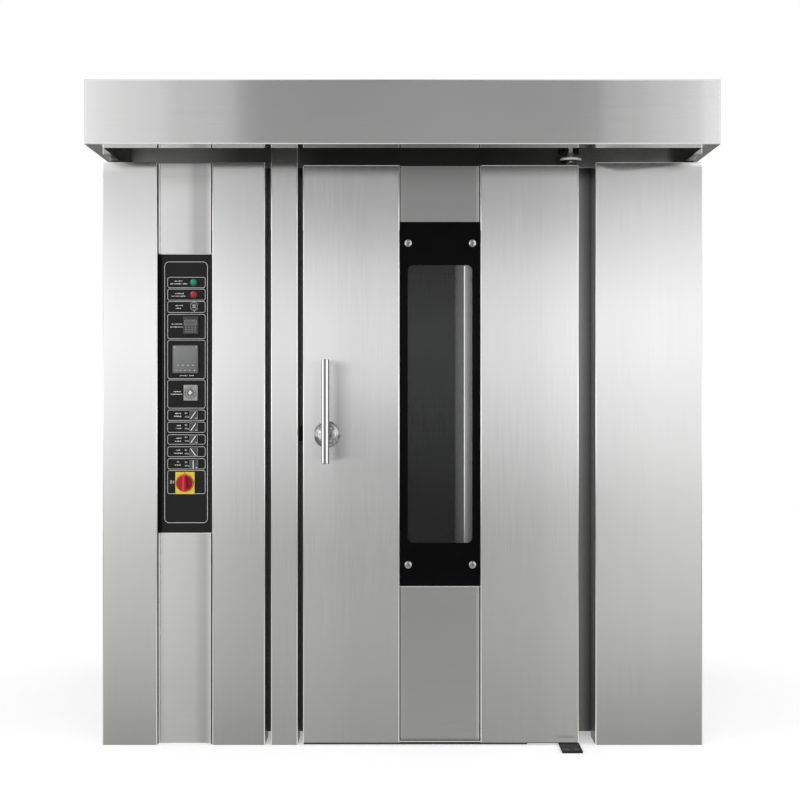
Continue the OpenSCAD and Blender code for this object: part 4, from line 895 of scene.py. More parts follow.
def digit(bm, d, c, h, axis_org, h0, h1, mat=0, wd=1.1):
    """Plain 0 or 1, as a ring or a bar."""
    if d == 0:
        ring(bm, rrect(h * 0.62, h, h * 0.30, 5, c), rrect(h * 0.62 - 2 * wd, h - 2 * wd, h * 0.30 - wd, 5, c), axis_org, "-y", h0, h1, mat)
    else:
        prism(bm, rrect(wd, h, 0.2, 1, c), axis_org, "-y", h0, h1, mat)


SEL_X, SEL_Z, SEL_A = -699.4, [1099, 1059.4, 1018.1, 975.5, 934.6], [35, 35, 35, -35, 0]
for z in SEL_Z:
    digit(bm, 0, (SEL_X - 28.5, z + 6.5), 5.2, org, 0.0, 0.2, 0, 0.9)
    digit(bm, 1, (SEL_X - 24.0, z + 6.5), 5.2, org, 0.0, 0.2, 0, 1.2)
    digit(bm, 1, (SEL_X - 29.0, z - 5.5), 5.2, org, 0.0, 0.2, 0, 1.2)
    digit(bm, 0, (SEL_X - 23.5, z - 5.5), 5.2, org, 0.0, 0.2, 0, 0.9)
    digit(bm, 1, (SEL_X - 17.8, z - 6.5), 3.8, org, 0.0, 0.2, 0, 1.6)
digit(bm, 0, (-775.6, 874.5), 10.0, org, 0.0, 0.2, 0, 1.3)
digit(bm, 1, (-767.4, 874.5), 10.0, org, 0.0, 0.2, 0, 1.7)
# round sign at the buzzer: two arcs and two points
bx_, bz_ = -698.4, 1464.0
for a0 in (25, 205):
    o_, i_ = [], []
    for k in range(13):
        a = math.radians(a0 + 130 * k / 12)
        o_.append((bx_ + 15.6 * math.cos(a), bz_ + 15.6 * math.sin(a)))
        i_.append((bx_ + 14.5 * math.cos(a), bz_ + 14.5 * math.sin(a)))
    for k in range(12):
        prism(bm, [i_[k], o_[k], o_[k + 1], i_[k + 1]], org, "-y", 0.0, 0.2, 1)
for s in (1, -1):
    prism(bm, [(bx_ - 2.4, bz_ + s * 14.3), (bx_ + 2.4, bz_ + s * 14.3), (bx_, bz_ + s * 19.0)][::s], org, "-y", 0.0, 0.24, 0)
finish_mesh("panel_print", bm, [INK, INK_G, INK_L], "carcass", angle=60)

# timer: frame, display, keys
FI = PF - 8.0
LCD = coat("lcd_grey", (0.085, 0.09, 0.087), 0.16, 0.05, 300, 0.01, 0.5)
KEYG = coat("key_grey", (0.12, 0.12, 0.123), 0.38, 0.06, 500, 0.05, 0.4)
KEYL = coat("key_edge", (0.20, 0.20, 0.205), 0.38, 0.06, 500, 0.05, 0.4)


def face_foil():
    """Grey face foil of the controller, with painted shading from its upper left corner to the lower right."""
    m, nt, b = new_mat("face_foil")
    tc = node(nt, "TexCoord").outputs["Object"]
    o = split(nt, tc)
    g = math_(nt, "ADD", math_(nt, "MULTIPLY", math_(nt, "ADD", o[0], 0.77), -4.0), math_(nt, "MULTIPLY", math_(nt, "SUBTRACT", o[2], 1.24), 5.0))
    f = noise(nt, tc, 700, 3, 0.6)
    k = math_(nt, "ADD", remap(nt, f, 0.96, 1.04), math_(nt, "MULTIPLY", g, 0.9))
    base = node(nt, "RGB")
    base.outputs[0].default_value = (0.145, 0.146, 0.148, 1)
    nt.links.new(scale_col(nt, base.outputs[0], k), b.inputs["Base Color"])
    nt.links.new(remap(nt, f, 0.16, 0.21), b.inputs["Roughness"])
    bump(nt, b, f, 0.015, 0.0002)
    return m


FACEG = face_foil()
DOT = emit("indicator_white", (0.80, 0.81, 0.80), 0.2)
bm = bmesh.new()
o = (-709.5, FI, 1400.5)
ring(bm, rrect(51, 60, 3, 4), rrect(45.5, 54.5, 2, 4), o, "-y", 0.0, 1.6, 0)
prism(bm, rrect(46, 55, 2, 4), o, "-y", 0.0, 0.5, 0)
ring(bm, rrect(42, 18.5, 2, 4, (0, 8.5)), rrect(38, 14.5, 1, 4, (0, 8.5)), o, "-y", 0.4, 1.2, 3)
prism(bm, rrect(38, 14.5, 1, 4, (0, 8.5)), o, "-y", 0.45, 0.7, 1)
for i in range(4):
    for j in range(3):
        prism(bm, rrect(8.2, 6.2, 1.2, 4, (-15.6 + i * 10.4, -7.2 - j * 7.6)), o, "-y", 0.4, 1.5, 2, 0.35)
prism(bm, rrect(6, 1.4, 0.6, 3, (-16, 23)), o, "-y", 0.4, 0.65, 3)
finish_mesh("timer_face", bm, [PLASTIC, LCD, KEYG, KEYL], "carcass", bev=0.15)

# temperature controller: glossy face foil in a frame, indicators, keys
bm = bmesh.new()
o = (-727, FI, 1286.6)
ring(bm, rrect(86, 94, 4, 5), rrect(81, 89, 3, 5), o, "-y", 0.0, 2.2, 1)
prism(bm, rrect(81.2, 89.2, 3, 5), o, "-y", 0.0, 0.9, 0)
for xx in (-763.0, -691.0):
    prism(bm, rrect(3.6, 2.2, 0.6, 2), (xx, FI, 1327.0), "-y", 0.85, 1.05, 3)
for xx in (-751.5, -734.8, -718.0, -701.2):
    lathe(bm, [(1.45, 0.8), (1.35, 1.2), (0.9, 1.5), (0, 1.6)], (xx, FI, 1266.4), "-y", 20, 2)
for xx in (-757.2, -741.8, -727.4, -711.3, -695.9):
    lathe(bm, [(4.2, 0.8), (4.0, 1.6), (2.9, 2.0), (0, 2.1)], (xx, FI, 1249.2), "-y", 24, 4)
    ring(bm, rrect(4.2, 3.0, 0.6, 2), rrect(2.6, 1.6, 0.3, 2), (xx, FI, 1249.2), "-y", 2.0, 2.2, 3)
finish_mesh("controller_face", bm, [FACEG, PLASTIC_G, DOT, INK, KEYG], "carcass", bev=0.15)

# steam timer: dial with plain marks round the knob
bm = bmesh.new()
o = (-709.5, FI, 1174.2)
ring(bm, rrect(46, 52, 3, 5), rrect(42.4, 48.4, 2, 5), o, "-y", 0.0, 1.2, 0)
ring(bm, circ(19.6, 48), circ(18.9, 48), o, "-y", 0.0, 0.25, 1)
ring(bm, circ(11.6, 48), circ(9.9, 48), o, "-y", 0.0, 0.8, 1)
for k in range(31):
    if k in (0,):
        continue
    a = 90 - 45 - k * 9.0
    L = 5.0 if k % 5 == 0 else 2.8
    pts = [rot2(p, a) for p in ((18.4 - L, -0.45), (18.4, -0.45), (18.4, 0.45), (18.4 - L, 0.45))]
    prism(bm, pts, o, "-y", 0.0, 0.25, 1)
digit(bm, 0, (0, 16.0), 7.0, o, 0.0, 0.3, 1, 1.3)
for sx in (-1, 1):
    for sz in (-1, 1):
        screw(bm, (o[0] + sx * 18.6, FI - 0.0, o[2] + sz * 21.6), "-y", 1.3, 0.9, 2)
finish_mesh("steam_timer_dial", bm, [DIALWHITE, PLASTIC, ZINC], "carcass", bev=0.1)
bm = bmesh.new()
o = (-709.5, PF - 17, 1174.2)
ring(bm, circ(8.9, 40), circ(5.6, 40), o, "-y", 0.0, 0.3, 1)
for k in range(24):
    a = math.radians(k * 15)
    c, s = math.cos(a), math.sin(a)
    beam(bm, o[0] + 8.95 * c - 0.35, o[0] + 8.95 * c + 0.35, PF - 16.4, PF - 9.2, o[2] + 8.95 * s - 0.35, o[2] + 8.95 * s + 0.35, axis="y", r=0.15, n=1)
finish_mesh("steam_timer_grip", bm, [KNOBWHITE, PLASTIC_G], "steam_timer")

# selectors: white inlay on the grip, bezel frame
for i, k in enumerate("abcde"):
    bm = bmesh.new()
    org_ = (SEL_X, PF - 15.0, SEL_Z[i])
    pts = [rot2(p, -SEL_A[i]) for p in rrect(5.4, 29.0, 2.2, 4)]
    prism(bm, pts, org_, "-y", -5.8, 0.5, 1, 0.7)
    pts = [rot2(p, -SEL_A[i]) for p in rrect(2.1, 28.4, 0.9, 3)]
    prism(bm, pts, org_, "-y", 0.3, 0.9, 0)
    finish_mesh("selector_lever_" + k, bm, [LEVERWHITE, PLASTIC], "switch_" + k)
bm = bmesh.new()
for z in SEL_Z:
    ring(bm, rrect(27, 27, 2.0, 4), rrect(25.2, 25.2, 1.3, 4), (SEL_X, PF - 4.5, z), "-y", -0.1, 0.5, 3)
    prism(bm, rrect(5.0, 2.4, 0.8, 3, (8.4, -10.4)), (SEL_X, PF - 4.5, z), "-y", 0.0, 0.3, 1)
    for q in range(6):
        prism(bm, rrect(0.7, 1.6, 0.2, 1, (11.2, -5 + q * 3.0)), (SEL_X, PF - 4.5, z), "-y", 0.0, 0.3, 3)
for z in (1542.6, 1501.7):
    ring(bm, circ(14.0, 48), circ(12.6, 48), (-698.4, PF - 4.5, z), "-y", -0.1, 0.7, 2)
ring(bm, circ(12.5, 48), circ(11.7, 48), (bx_, PF - 5.0, bz_), "-y", -0.1, 0.5, 3)
for zq in (-3.4, 3.4):
    for xq in (-4.0, -1.2, 1.6, 4.4):
        prism(bm, rrect(1.5, 3.4, 0.4, 2, (xq, zq)), (bx_, PF - 5.0, bz_), "-y", -0.1, 0.3, 1)
finish_mesh("switch_rings", bm, [PLASTIC_G, INK, PLASTIC, INK_G], "carcass", bev=0.12)

# main switch: printed ring, corner screws, grip edge
bm = bmesh.new()
o = (-729, PF - 4.0, 871.5)
ring(bm, circ(30.0, 64), circ(27.2, 64), o, "-y", 0.0, 0.2, 0)
for k in range(16):
    pts = [rot2(p, k * 22.5) for p in rrect(0.9, 2.2, 0.3, 1, (0, 28.6))]
    prism(bm, pts, o, "-y", 0.15, 0.3, 3)
for sx in (-1, 1):
    for sz in (-1, 1):
        screw(bm, (o[0] + sx * 27.0, o[1], o[2] + sz * 31.5), "-y", 1.5, 0.5, 3, 0.4)
digit(bm, 0, (0, 33.0), 5.4, o, 0.0, 0.2, 2, 1.0)
digit(bm, 1, (-29.9, 0), 5.4, o, 0.0, 0.2, 2, 1.1)
finish_mesh("main_switch_marks", bm, [coat("mark_red", (0.42, 0.035, 0.03), 0.45), ZINC, PLASTIC, YELLOW], "carcass")
bm = bmesh.new()
o = (-729, PF - 25.0, 871.5)
prism(bm, [(-2.6, 21.5), (-3.0, 0), (-1.4, -17), (0, -24.4), (1.4, -17), (3.0, 0), (2.6, 21.5)], o, "-y", -0.3, 1.5, 1, 1.0)
ring(bm, circ(25.9, 64), circ(24.4, 64), (-729, PF - 10.0, 871.5), "-y", -0.1, 0.9, 1)
for a in range(0, 360, 12):
    if abs((a % 180) - 90) > 24:
        pts = [rot2(p, a) for p in rrect(0.8, 3.0, 0.3, 1, (0, 21.8))]
        prism(bm, pts, (-729, PF - 10.0, 871.5), "-y", -0.1, 0.7, 1)
finish_mesh("main_switch_grip", bm, [KNOBWHITE, KNOBRED], "main_switch", bev=0.25)
# domed lenses on the two push buttons
for nm, bz, mt, bd in (("green_lens", 1542.6, LENS_G, "start_button"), ("red_lens", 1501.7, LENS_R, "stop_button")):
    bm = bmesh.new()
    prof = [(11.0, 8.9), (11.0, 10.4)] + [(11.0 * math.cos(math.radians(t)), 10.4 + 4.2 * math.sin(math.radians(t))) for t in range(10, 90, 10)] + [(0, 14.6)]
    lathe(bm, prof, (-698.4, PF, bz), "-y", 48, 0)
    finish_mesh(nm, bm, mt, bd, angle=60)

# ---------------------------------------------------------------- window
# lamp behind the glass: folded reflector, opal strip on its ridge, tube and sockets


def reflector_mat():
    """Bright aluminium wings with a painted glow standing for the tube's light: the wing on the hinge side much more.
    """
    m, nt, b = new_mat("reflector_aluminium")
    tc = node(nt, "TexCoord").outputs["Object"]
    x = split(nt, tc)[0]
    z = split(nt, tc)[2]
    f = noise(nt, tc, 60, 3, 0.6, (1, 1, 0.05))
    # painted glow: emission strength shaped across the wings and along their height
    k = by_ramp(nt, x, [(0.176, 0.02), (0.183, 0.20), (0.2066, 0.34), (0.2100, 0.95), (0.2176, 0.84), (0.2209, 0.56), (0.2243, 0.44), (0.2277, 0.36), (0.2312, 0.16), (0.238, 0.04)])
    k = math_(nt, "MULTIPLY", k, by_ramp(nt, z, [(0.65, 0.55), (0.85, 0.75), (1.1, 1.0), (1.45, 1.0), (1.62, 0.85)]))
    k = math_(nt, "MULTIPLY", k, remap(nt, f, 0.92, 1.06))
    nt.links.new(mix_rgb(nt, remap(nt, f, 0, 1), (0.72, 0.72, 0.72), (0.80, 0.80, 0.80)), b.inputs["Base Color"])
    b.inputs["Metallic"].default_value = 1.0
    nt.links.new(remap(nt, f, 0.25, 0.33), b.inputs["Roughness"])
    b.inputs["Emission Color"].default_value = (1, 1, 0.985, 1)
    nt.links.new(math_(nt, "MULTIPLY", k, 0.85), b.inputs["Emission Strength"])
    return m


REFLECT = reflector_mat()


def opal_mat():
    """Opal strip in front of the tube, weaker towards its lower end."""
    m, nt, b = new_mat("opal_strip")
    tc = node(nt, "TexCoord").outputs["Object"]
    f = noise(nt, tc, 25, 2, 0.5)
    nt.links.new(mix_rgb(nt, remap(nt, f, 0, 1), (0.92, 0.91, 0.89), (1.0, 0.99, 0.97)), b.inputs["Base Color"])
    b.inputs["Emission Color"].default_value = (1.0, 0.99, 0.965, 1)
    nt.links.new(by_ramp(nt, split(nt, tc)[2], [(0.655, 0.35), (0.72, 1.1), (0.80, 1.9), (1.0, 2.5), (1.6, 2.5)]), b.inputs["Emission Strength"])
    b.inputs["Roughness"].default_value = 0.4
    return m


OPAL = opal_mat()
TUBE = coat("lamp_glass", (0.72, 0.72, 0.70), 0.12, 0.03, 100, 0.01, 0.5)
bm = bmesh.new()
prof = [(176, 62), (206.6, 41.4), (207.0, 40.6), (209.8, 40.6), (210.2, 41.4), (238, 58), (238, 60), (210.0, 43.2), (207.0, 43.2), (176, 64)]
vs = []
for z in (643, 800, 960, 1120, 1280, 1440, 1629):
    vs.append([bm.verts.new(V(x, y, z)) for x, y in prof])
for a, b_ in zip(vs, vs[1:]):
    for i in range(len(prof)):
        j = (i + 1) % len(prof)
        bm.faces.new((a[i], a[j], b_[j], b_[i]))
bm.faces.new(vs[0]); bm.faces.new(vs[-1][::-1])
refl = finish_mesh("lamp_reflector", bm, REFLECT, "door", angle=20)
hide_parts("window_lamp")
bm = bmesh.new()
beam(bm, 206.9, 210.2, 38.6, 40.7, 650, 1600, r=0.9, n=3)
finish_mesh("lamp_strip", bm, OPAL, "door")
bm = bmesh.new()
lathe(bm, [(0, 672), (5, 672), (7.6, 676), (7.6, 1594), (5, 1598), (0, 1598)], (207, 60, 0), "+z", 28, 0)
for z0, z1 in ((660, 674), (1596, 1611)):
    lathe(bm, [(0, z0), (8.2, z0), (8.2, z1), (0, z1)], (207, 60, 0), "+z", 28, 1)
finish_mesh("lamp_tube", bm, [TUBE, ZINC], "door")
bm = bmesh.new()
for z in (642.5, 1606.5):
    beam(bm, 196, 218, 47, 70, z, z + 23, r=3, n=3)
finish_mesh("lamp_sockets", bm, CERAMIC, "door", bev=0.5)
# dark angle strips across the top and the foot of the opening, behind the outer glass; made near-black as painted shade
# there
bm = bmesh.new()
beam(bm, 7.0, 175.5, 62.0, 64.0, 1578.5, 1635.0, axis="x", r=0.5)
beam(bm, 7.0, 175.5, 30.0, 64.0, 1633.2, 1635.2, axis="x", r=0.5)
beam(bm, 7.0, 175.5, 62.0, 64.0, 637.5, 690.0, axis="x", r=0.5)
finish_mesh("window_screens", bm, coat("screen_dark", (0.022, 0.022, 0.022), 0.5, 0.12, 200, 0.05, 0.3), "door")
# inner frame of the window, on the liner, with its screws
bm = bmesh.new()
lin = (0, 88, 0)
cxw, czw = 125.5, 1136
n_ = 5
ring(bm, [(-p[0], p[1]) for p in rrect(263, 1028, 10, n_, (cxw, czw))][::-1], [(-p[0], p[1]) for p in rrect(232, 996, 6, n_, (cxw, czw))][::-1], lin, "+y", 0.0, 2.0, 0)
for x in (0.5, 250.5):
    for k in range(7):
        screw(bm, (x, 90, 660 + k * 159), "+y", 2.6, 1.6, 1, k * 0.4)
for x in (60, 125, 190):
    for z in (629.5, 1642.5):
        screw(bm, (x, 90, z), "+y", 2.6, 1.6, 1, 0.2)
finish_mesh("inner_window_frame", bm, [SATIN, ZINC], "door", bev=0.5)

# ---------------------------------------------------------------- hinges, handle
bm = bmesh.new()
H0 = (566, 44, 0)
for z0, z1 in ((1981.5, 2033.0), (2066.5, 2070.5), (1966.5, 1969.5)):
    z = z0
    while z < z1:
        lathe(bm, [(5.9, z), (6.75, z + 0.55), (6.75, z + 0.75), (5.9, z + 1.3)], H0, "+z", 28, 0)
        z += 1.75
finish_mesh("hinge_rod_thread", bm, BRIGHT, "carcass")
bm = bmesh.new()
# rounded rim on the disc, and the four hexagon bolts of the angle piece
lathe(bm, [(35.4, 1953.6), (36.2, 1954.6), (36.2, 1960.4), (35.4, 1961.4)], H0, "+z", 64, 0)
for x in (546, 586):
    for z in (2002, 2032):
        hexbolt(bm, (x, 95.5, z), "-y", 10, 4.5, 8.5, mat=1)
finish_mesh("top_hinge_bolts", bm, [BRIGHT, BLACKIRON], "carcass")
bm = bmesh.new()
for x in (537.5, 571.5):
    lathe(bm, [(0, 5.6), (9.2, 5.6), (9.4, 6.3), (8.8, 7.1), (5.0, 7.4), (4.2, 7.4)], (x, -75, 0), "+z", 32, 0)
    lathe(bm, [(4.2, 7.4), (4.0, 6.2), (0, 6.1)], (x, -75, 0), "+z", 6, 0, 0.3)
for x, y in ((531, 40), (531, 58)):
    lathe(bm, [(0, 5.8), (3.4, 5.8), (3.4, 6.9), (2.6, 7.2), (0, 7.2)], (x, y, 0), "+z", 20, 0)
finish_mesh("floor_bolts", bm, coat("bolt_black", (0.05, 0.05, 0.05), 0.3, 0.3, 300, 0.2, 0.6), "carcass")
bm = bmesh.new()
# the handle tube, and the stem with its collar where the bar joins its spindle
lathe(bm, [(0, 943.2), (11.6, 943.2), (12.5, 943.6), (12.95, 944.6), (13.0, 946), (13.0, 1280.4), (12.95, 1281.8), (12.5, 1282.8), (11.6, 1283.2), (0, 1283.2)], (-251, -100, 0), "+z", 96, 0)
lathe(bm, [(8.2, 11.5), (13.4, 11.5), (14.0, 12.1), (14.0, 25.2), (13.4, 26.0), (11.4, 26.2), (11.0, 26.8), (11.0, 86), (11.6, 89.0), (11.6, 92), (0, 92)], (-251, 0, 1035), "-y", 64, 0)


def tube_mat():
    """Polished tube: a painted reflection, a dark line up its middle and dark flanks, as a bright studio gives on a
    round bar.
    """
    m, nt, b = new_mat("handle_polish")
    nn = split(nt, node(nt, "TexCoord").outputs["Normal"])
    tc = node(nt, "TexCoord").outputs["Object"]
    f = noise(nt, tc, 300, 3, 0.6, (1, 1, 0.02))
    k = by_ramp(nt, math_(nt, "ABSOLUTE", math_(nt, "ADD", nn[0], 0.10)), [(0.0, 0.15), (0.26, 0.18), (0.36, 0.92), (0.66, 0.92), (0.76, 0.24), (1.0, 0.16)])
    base = mix_rgb(nt, remap(nt, f, 0, 1), (0.80, 0.80, 0.80), (0.84, 0.84, 0.84))
    nt.links.new(scale_col(nt, base, k), b.inputs["Base Color"])
    b.inputs["Metallic"].default_value = 1.0
    nt.links.new(remap(nt, f, 0.06, 0.09), b.inputs["Roughness"])
    bump(nt, b, f, 0.01, 0.0002)
    return m


def rose_mat():
    """Pressed steel cup: painted shade makes its rolled rim and steps darker than the flat of it; worn in patches."""
    m, nt, b = new_mat("rose_steel")
    tc = node(nt, "TexCoord").outputs["Object"]
    nn = split(nt, node(nt, "TexCoord").outputs["Normal"])
    f = noise(nt, tc, 70, 4, 0.6)
    w = noise(nt, tc, 34, 2, 0.5, None, (4.3, 4, 4.1))
    slope = math_(nt, "SQRT", math_(nt, "ADD", math_(nt, "MULTIPLY", nn[0], nn[0]), math_(nt, "MULTIPLY", nn[2], nn[2])))
    # painted shade: the steeper the surface, the darker
    k = by_ramp(nt, slope, [(0.12, 1.0), (0.35, 0.72), (0.75, 0.42), (1.0, 0.35)])
    col = mix_rgb(nt, remap(nt, f, 0, 1), (0.46, 0.46, 0.46), (0.72, 0.72, 0.72))
    col = mix_rgb(nt, remap(nt, w, 0, 0.8, 0.46, 0.58), col, (0.27, 0.27, 0.27))
    nt.links.new(scale_col(nt, col, k), b.inputs["Base Color"])
    b.inputs["Metallic"].default_value = 1.0
    nt.links.new(remap(nt, f, 0.12, 0.17), b.inputs["Roughness"])
    bump(nt, b, f, 0.45, 0.002)
    return m


bar = finish_mesh("handle_tube", bm, tube_mat(), "handle")
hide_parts("handle_bar")
bm = bmesh.new()
lathe(bm, [(0, 13.2), (2.6, 13.2), (2.6, 14.2), (1.3, 14.3)], (-251, -18.5, 1035), "-z", 24, 0)
finish_mesh("handle_set_screw", bm, ZINC, "handle")
bm = bmesh.new()
lathe(bm, [(8.2, 0.06), (45.0, 0.06), (45.0, 2.6), (44.5, 3.2), (42.8, 3.5), (42.3, 3.0), (41.4, 3.0), (40.9, 3.9), (39.4, 5.7), (36.2, 7.5), (33.0, 8.2), (32.5, 7.6), (31.6, 7.6),
           (31.1, 8.5), (27.0, 9.2), (22.0, 9.75), (17.6, 10.0), (17.1, 9.3), (16.3, 9.3), (15.8, 10.0), (8.9, 10.0), (8.2, 9.6), (8.2, 0.06)], (-251, 0, 1035), "-y", 96, 0)
rose = finish_mesh("handle_rose", bm, rose_mat(), "door")
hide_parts("handle_rosette")
bm = bmesh.new()
for a in (57, 177, 297):
    screw(bm, (-251 + 24.5 * math.cos(math.radians(a)), -9.2, 1035 + 24.5 * math.sin(math.radians(a))), "-y", 2.5, 1.3, 0, a)
finish_mesh("rose_screws", bm, ZINC, "door")
# window caps: dark rubber ring under each, socket in the middle
bm = bmesh.new()
for x in (19, 234):
    for z in (599, 1674):
        lathe(bm, [(12.3, 13.9), (13.6, 13.9), (13.6, 12.9), (12.3, 12.4)][::-1], (x, 0, z), "+y", 48, 0)
        lathe(bm, [(3.4, -9.5), (3.1, -9.3), (0, -9.25)], (x, 0, z), "-y", 6, 3, 0.4)
        ring(bm, circ(10.2, 40), circ(9.3, 40), (x, 9.9, z), "-y", 0.0, 0.5, 2)
finish_mesh("cap_rings", bm, [RUBBER, PLASTIC, CAPS, coat("socket_dark", (0.09, 0.09, 0.09), 0.4)], "door")
bm = bmesh.new()
lathe(bm, [(0, 103.2), (8.0, 103.1), (13.5, 102.2), (16.8, 99.4), (17.4, 96.0), (17.2, 92.6), (16.0, 92.0)], (-251, 0, 1035), "+y", 48, 0)
finish_mesh("inner_release_knob", bm, coat("release_knob", (0.04, 0.30, 0.12), 0.32, 0.08, 260, 0.05), "handle")
bm = bmesh.new()
lathe(bm, [(9.5, 88.0), (26, 88.0), (26, 89.6), (24.5, 90.6), (17.6, 90.8), (17.6, 88.4)], (-251, 0, 1035), "+y", 48, 0)
for a in (60, 180, 300):
    screw(bm, (-251 + 21.6 * math.cos(math.radians(a)), 90.5, 1035 + 21.6 * math.sin(math.radians(a))), "+y", 1.5, 0.9, 0)
finish_mesh("release_plate", bm, SATIN, "door")


# ---------------------------------------------------------------- back, roof
bm = bmesh.new()
for i in range(4):
    xa = -979 + i * 489.5
    for x in (xa + 14, xa + 473):
        for z in (28, 410, 792, 1174, 1556, 1916):
            screw(bm, (x, 1328, z), "+y", 3.4, 2.0, 0, (i + z) * 0.37)
finish_mesh("rear_screws", bm, ZINC, "carcass")
bm = bmesh.new()
# cover strips over the seams of the roof, with their screws
RZ = 1946
for x in (-300, 640):
    beam(bm, x - 17, x + 17, 440, 1326, RZ, RZ + 1.8, axis="y", r=0.7, mat=0)
    for k in range(7):
        screw(bm, (x, 455 + k * 142, RZ + 1.8), "+z", 3.2, 1.9, 1, k * 0.5)
for y in [455 + k * 122 for k in range(8)]:
    for x in (-972, 972):
        screw(bm, (x, y, RZ), "+z", 3.2, 1.9, 1, y * 0.11)
for x in [-900 + k * 200 for k in range(10)]:
    screw(bm, (x, 1312, RZ), "+z", 3.2, 1.9, 1, x * 0.11)
    screw(bm, (x - 30 if x < 0 else x + 30 if x < 900 else x, 416, RZ + 2.2), "+z", 3.2, 1.9, 1, x * 0.07)
finish_mesh("roof_strips", bm, [S_Y, ZINC], "carcass")


def grille(bm, org, axis, r0, r1, n, spokes, h0, h1, mat=0, w=3.2):
    """Guard of rings on spokes."""
    for i in range(n):
        r = r0 + (r1 - r0) * i / (n - 1)
        ring(bm, circ(r + w / 2, 56), circ(r - w / 2, 56), org, axis, h0, h1, mat)
    for k in range(spokes):
        pts = [rot2(p, k * 360.0 / spokes + 11) for p in ((r0, -w * 0.6), (r1, -w * 0.6), (r1, w * 0.6), (r0, w * 0.6))]
        prism(bm, pts, org, axis, h0 - 0.6, h1 - 0.6, mat)


def lid(bm, c, axis, w, h, mat=0, smat=1):
    """Cover of a terminal box, with a chamfered edge and four screws."""
    prism(bm, rrect(w, h, 4, 4), c, axis, 0.0, 3.2, mat, 1.0)
    u, v, n = AX[axis]
    for sx in (-1, 1):
        for sy in (-1, 1):
            q = Vector(c) + u * (sx * (w / 2 - 6)) + v * (sy * (h / 2 - 6)) + n * 3.0
            screw(bm, tuple(q), axis, 2.3, 1.6, smat, sx * 0.4)


def gland(bm, c, axis, r=11.0, mat=2):
    """Cable gland: hexagon, dome nut with ribs, rubber insert."""
    lathe(bm, [(0, 0), (r * 1.1, 0), (r * 1.1, 5), (r * 1.04, 5.6), (0, 5.6)], c, axis, 6, mat, 0.3)
    lathe(bm, [(r * 0.92, 5.6), (r * 0.96, 12), (r * 0.84, 17), (r * 0.62, 19.6), (r * 0.5, 19.6), (r * 0.46, 17.5), (0, 17.2)], c, axis, 28, mat)
    for k in range(14):
        a = 2 * math.pi * k / 14
        u, v, n = AX[axis]
        q = Vector(c) + u * (r * 0.95 * math.cos(a)) + v * (r * 0.95 * math.sin(a))
        lathe(bm, [(0, 6), (0.8, 6), (0.8, 12.6), (0, 13.4)], tuple(q), axis, 8, mat)


FXM, FYM = -655, 825
bm = bmesh.new()
for sx in (-1, 1):
    for sy in (-1, 1):
        hexbolt(bm, (FXM + sx * 88, FYM + sy * 88, RZ + 8), "+z", 13, 7, 11, mat=1)
grille(bm, (FXM, FYM, RZ + 232), "+z", 14, 74, 6, 8, -1.4, 1.2, 0)
lathe(bm, [(0, 0), (15, 0), (15, 1.4), (13.6, 2.2), (0, 2.4)], (FXM, FYM, RZ + 231.6), "+z", 40, 0)
for a in range(3):
    q = rot2((81, 0), a * 120 + 30)
    screw(bm, (FXM + q[0], FYM + q[1], RZ + 232), "+z", 2.2, 1.5, 1, a)
lid(bm, (FXM + 122, FYM, RZ + 110), "+x", 72, 76)
gland(bm, (FXM + 98, FYM, RZ + 70), "-z")
lathe(bm, [(95.2, RZ + 12), (96.4, RZ + 12.6), (96.4, RZ + 15), (95.2, RZ + 15.6)], (FXM, FYM, 0), "+z", 72, 0)
for a in range(0, 360, 60):
    q = rot2((87, 0), a + 15)
    hexbolt(bm, (FXM + q[0], FYM + q[1], RZ + 24), "+z", 8, 4, 6.4, 1.0, 1)
finish_mesh("fan_motor_fittings", bm, [MOTORBLUE, ZINC, PLASTIC], "carcass", bev=0.3)

GX, GY, GZ = 115, 710, RZ + 82
bm = bmesh.new()
for sx in (-1, 1):
    for sy in (-1, 1):
        hexbolt(bm, (GX + sx * 122, GY + sy * 52, RZ + 5), "+z", 13, 7, 11, mat=1)
for ax, yy in (("-y", GY - 70), ("+y", GY + 70)):
    c = (GX, yy, GZ + 60)
    lathe(bm, [(0, 0), (50, 0), (50, 3.4), (48.6, 4.6), (34, 5.2), (31, 3.8), (24, 3.8), (22, 6.4), (0, 6.8)], c, ax, 64, 0)
    u, v, n = AX[ax]
    for a in range(6):
        q = rot2((42, 0), a * 60 + 30)
        w_ = Vector(c) + u * q[0] + v * q[1] + n * 4.7
        hexbolt(bm, tuple(w_), ax, 8, 4.4, 6.2, 0.9, 1)
hexbolt(bm, (GX - 80, GY - 30, GZ + 88), "-x", 14, 6, 9.5, 1.4, 3)       # oil plugs
hexbolt(bm, (GX - 80, GY - 30, GZ + 22), "-x", 14, 6, 9.5, 1.4, 3)
lathe(bm, [(0, 0), (9, 0), (9, 2.2), (7.6, 2.4), (0, 2.0)], (GX - 80, GY + 26, GZ + 58), "-x", 32, 4)
grille(bm, (GX + 300, GY, GZ + 60), "+x", 12, 56, 5, 8, -1.4, 1.2, 0)
lathe(bm, [(0, 0), (12, 0), (12, 1.4), (10.6, 2.2), (0, 2.4)], (GX + 299.6, GY, GZ + 60), "+x", 40, 0)
lid(bm, (GX + 160, GY, GZ + 146), "+z", 76, 64)
gland(bm, (GX + 160, GY + 34, GZ + 124), "+y", 9)
for a in range(4):
    q = rot2((66, 0), a * 90 + 45)
    hexbolt(bm, (GX + 79.4, GY + q[0], GZ + 60 + q[1]), "-x", 10, 5, 8, 1.2, 1)
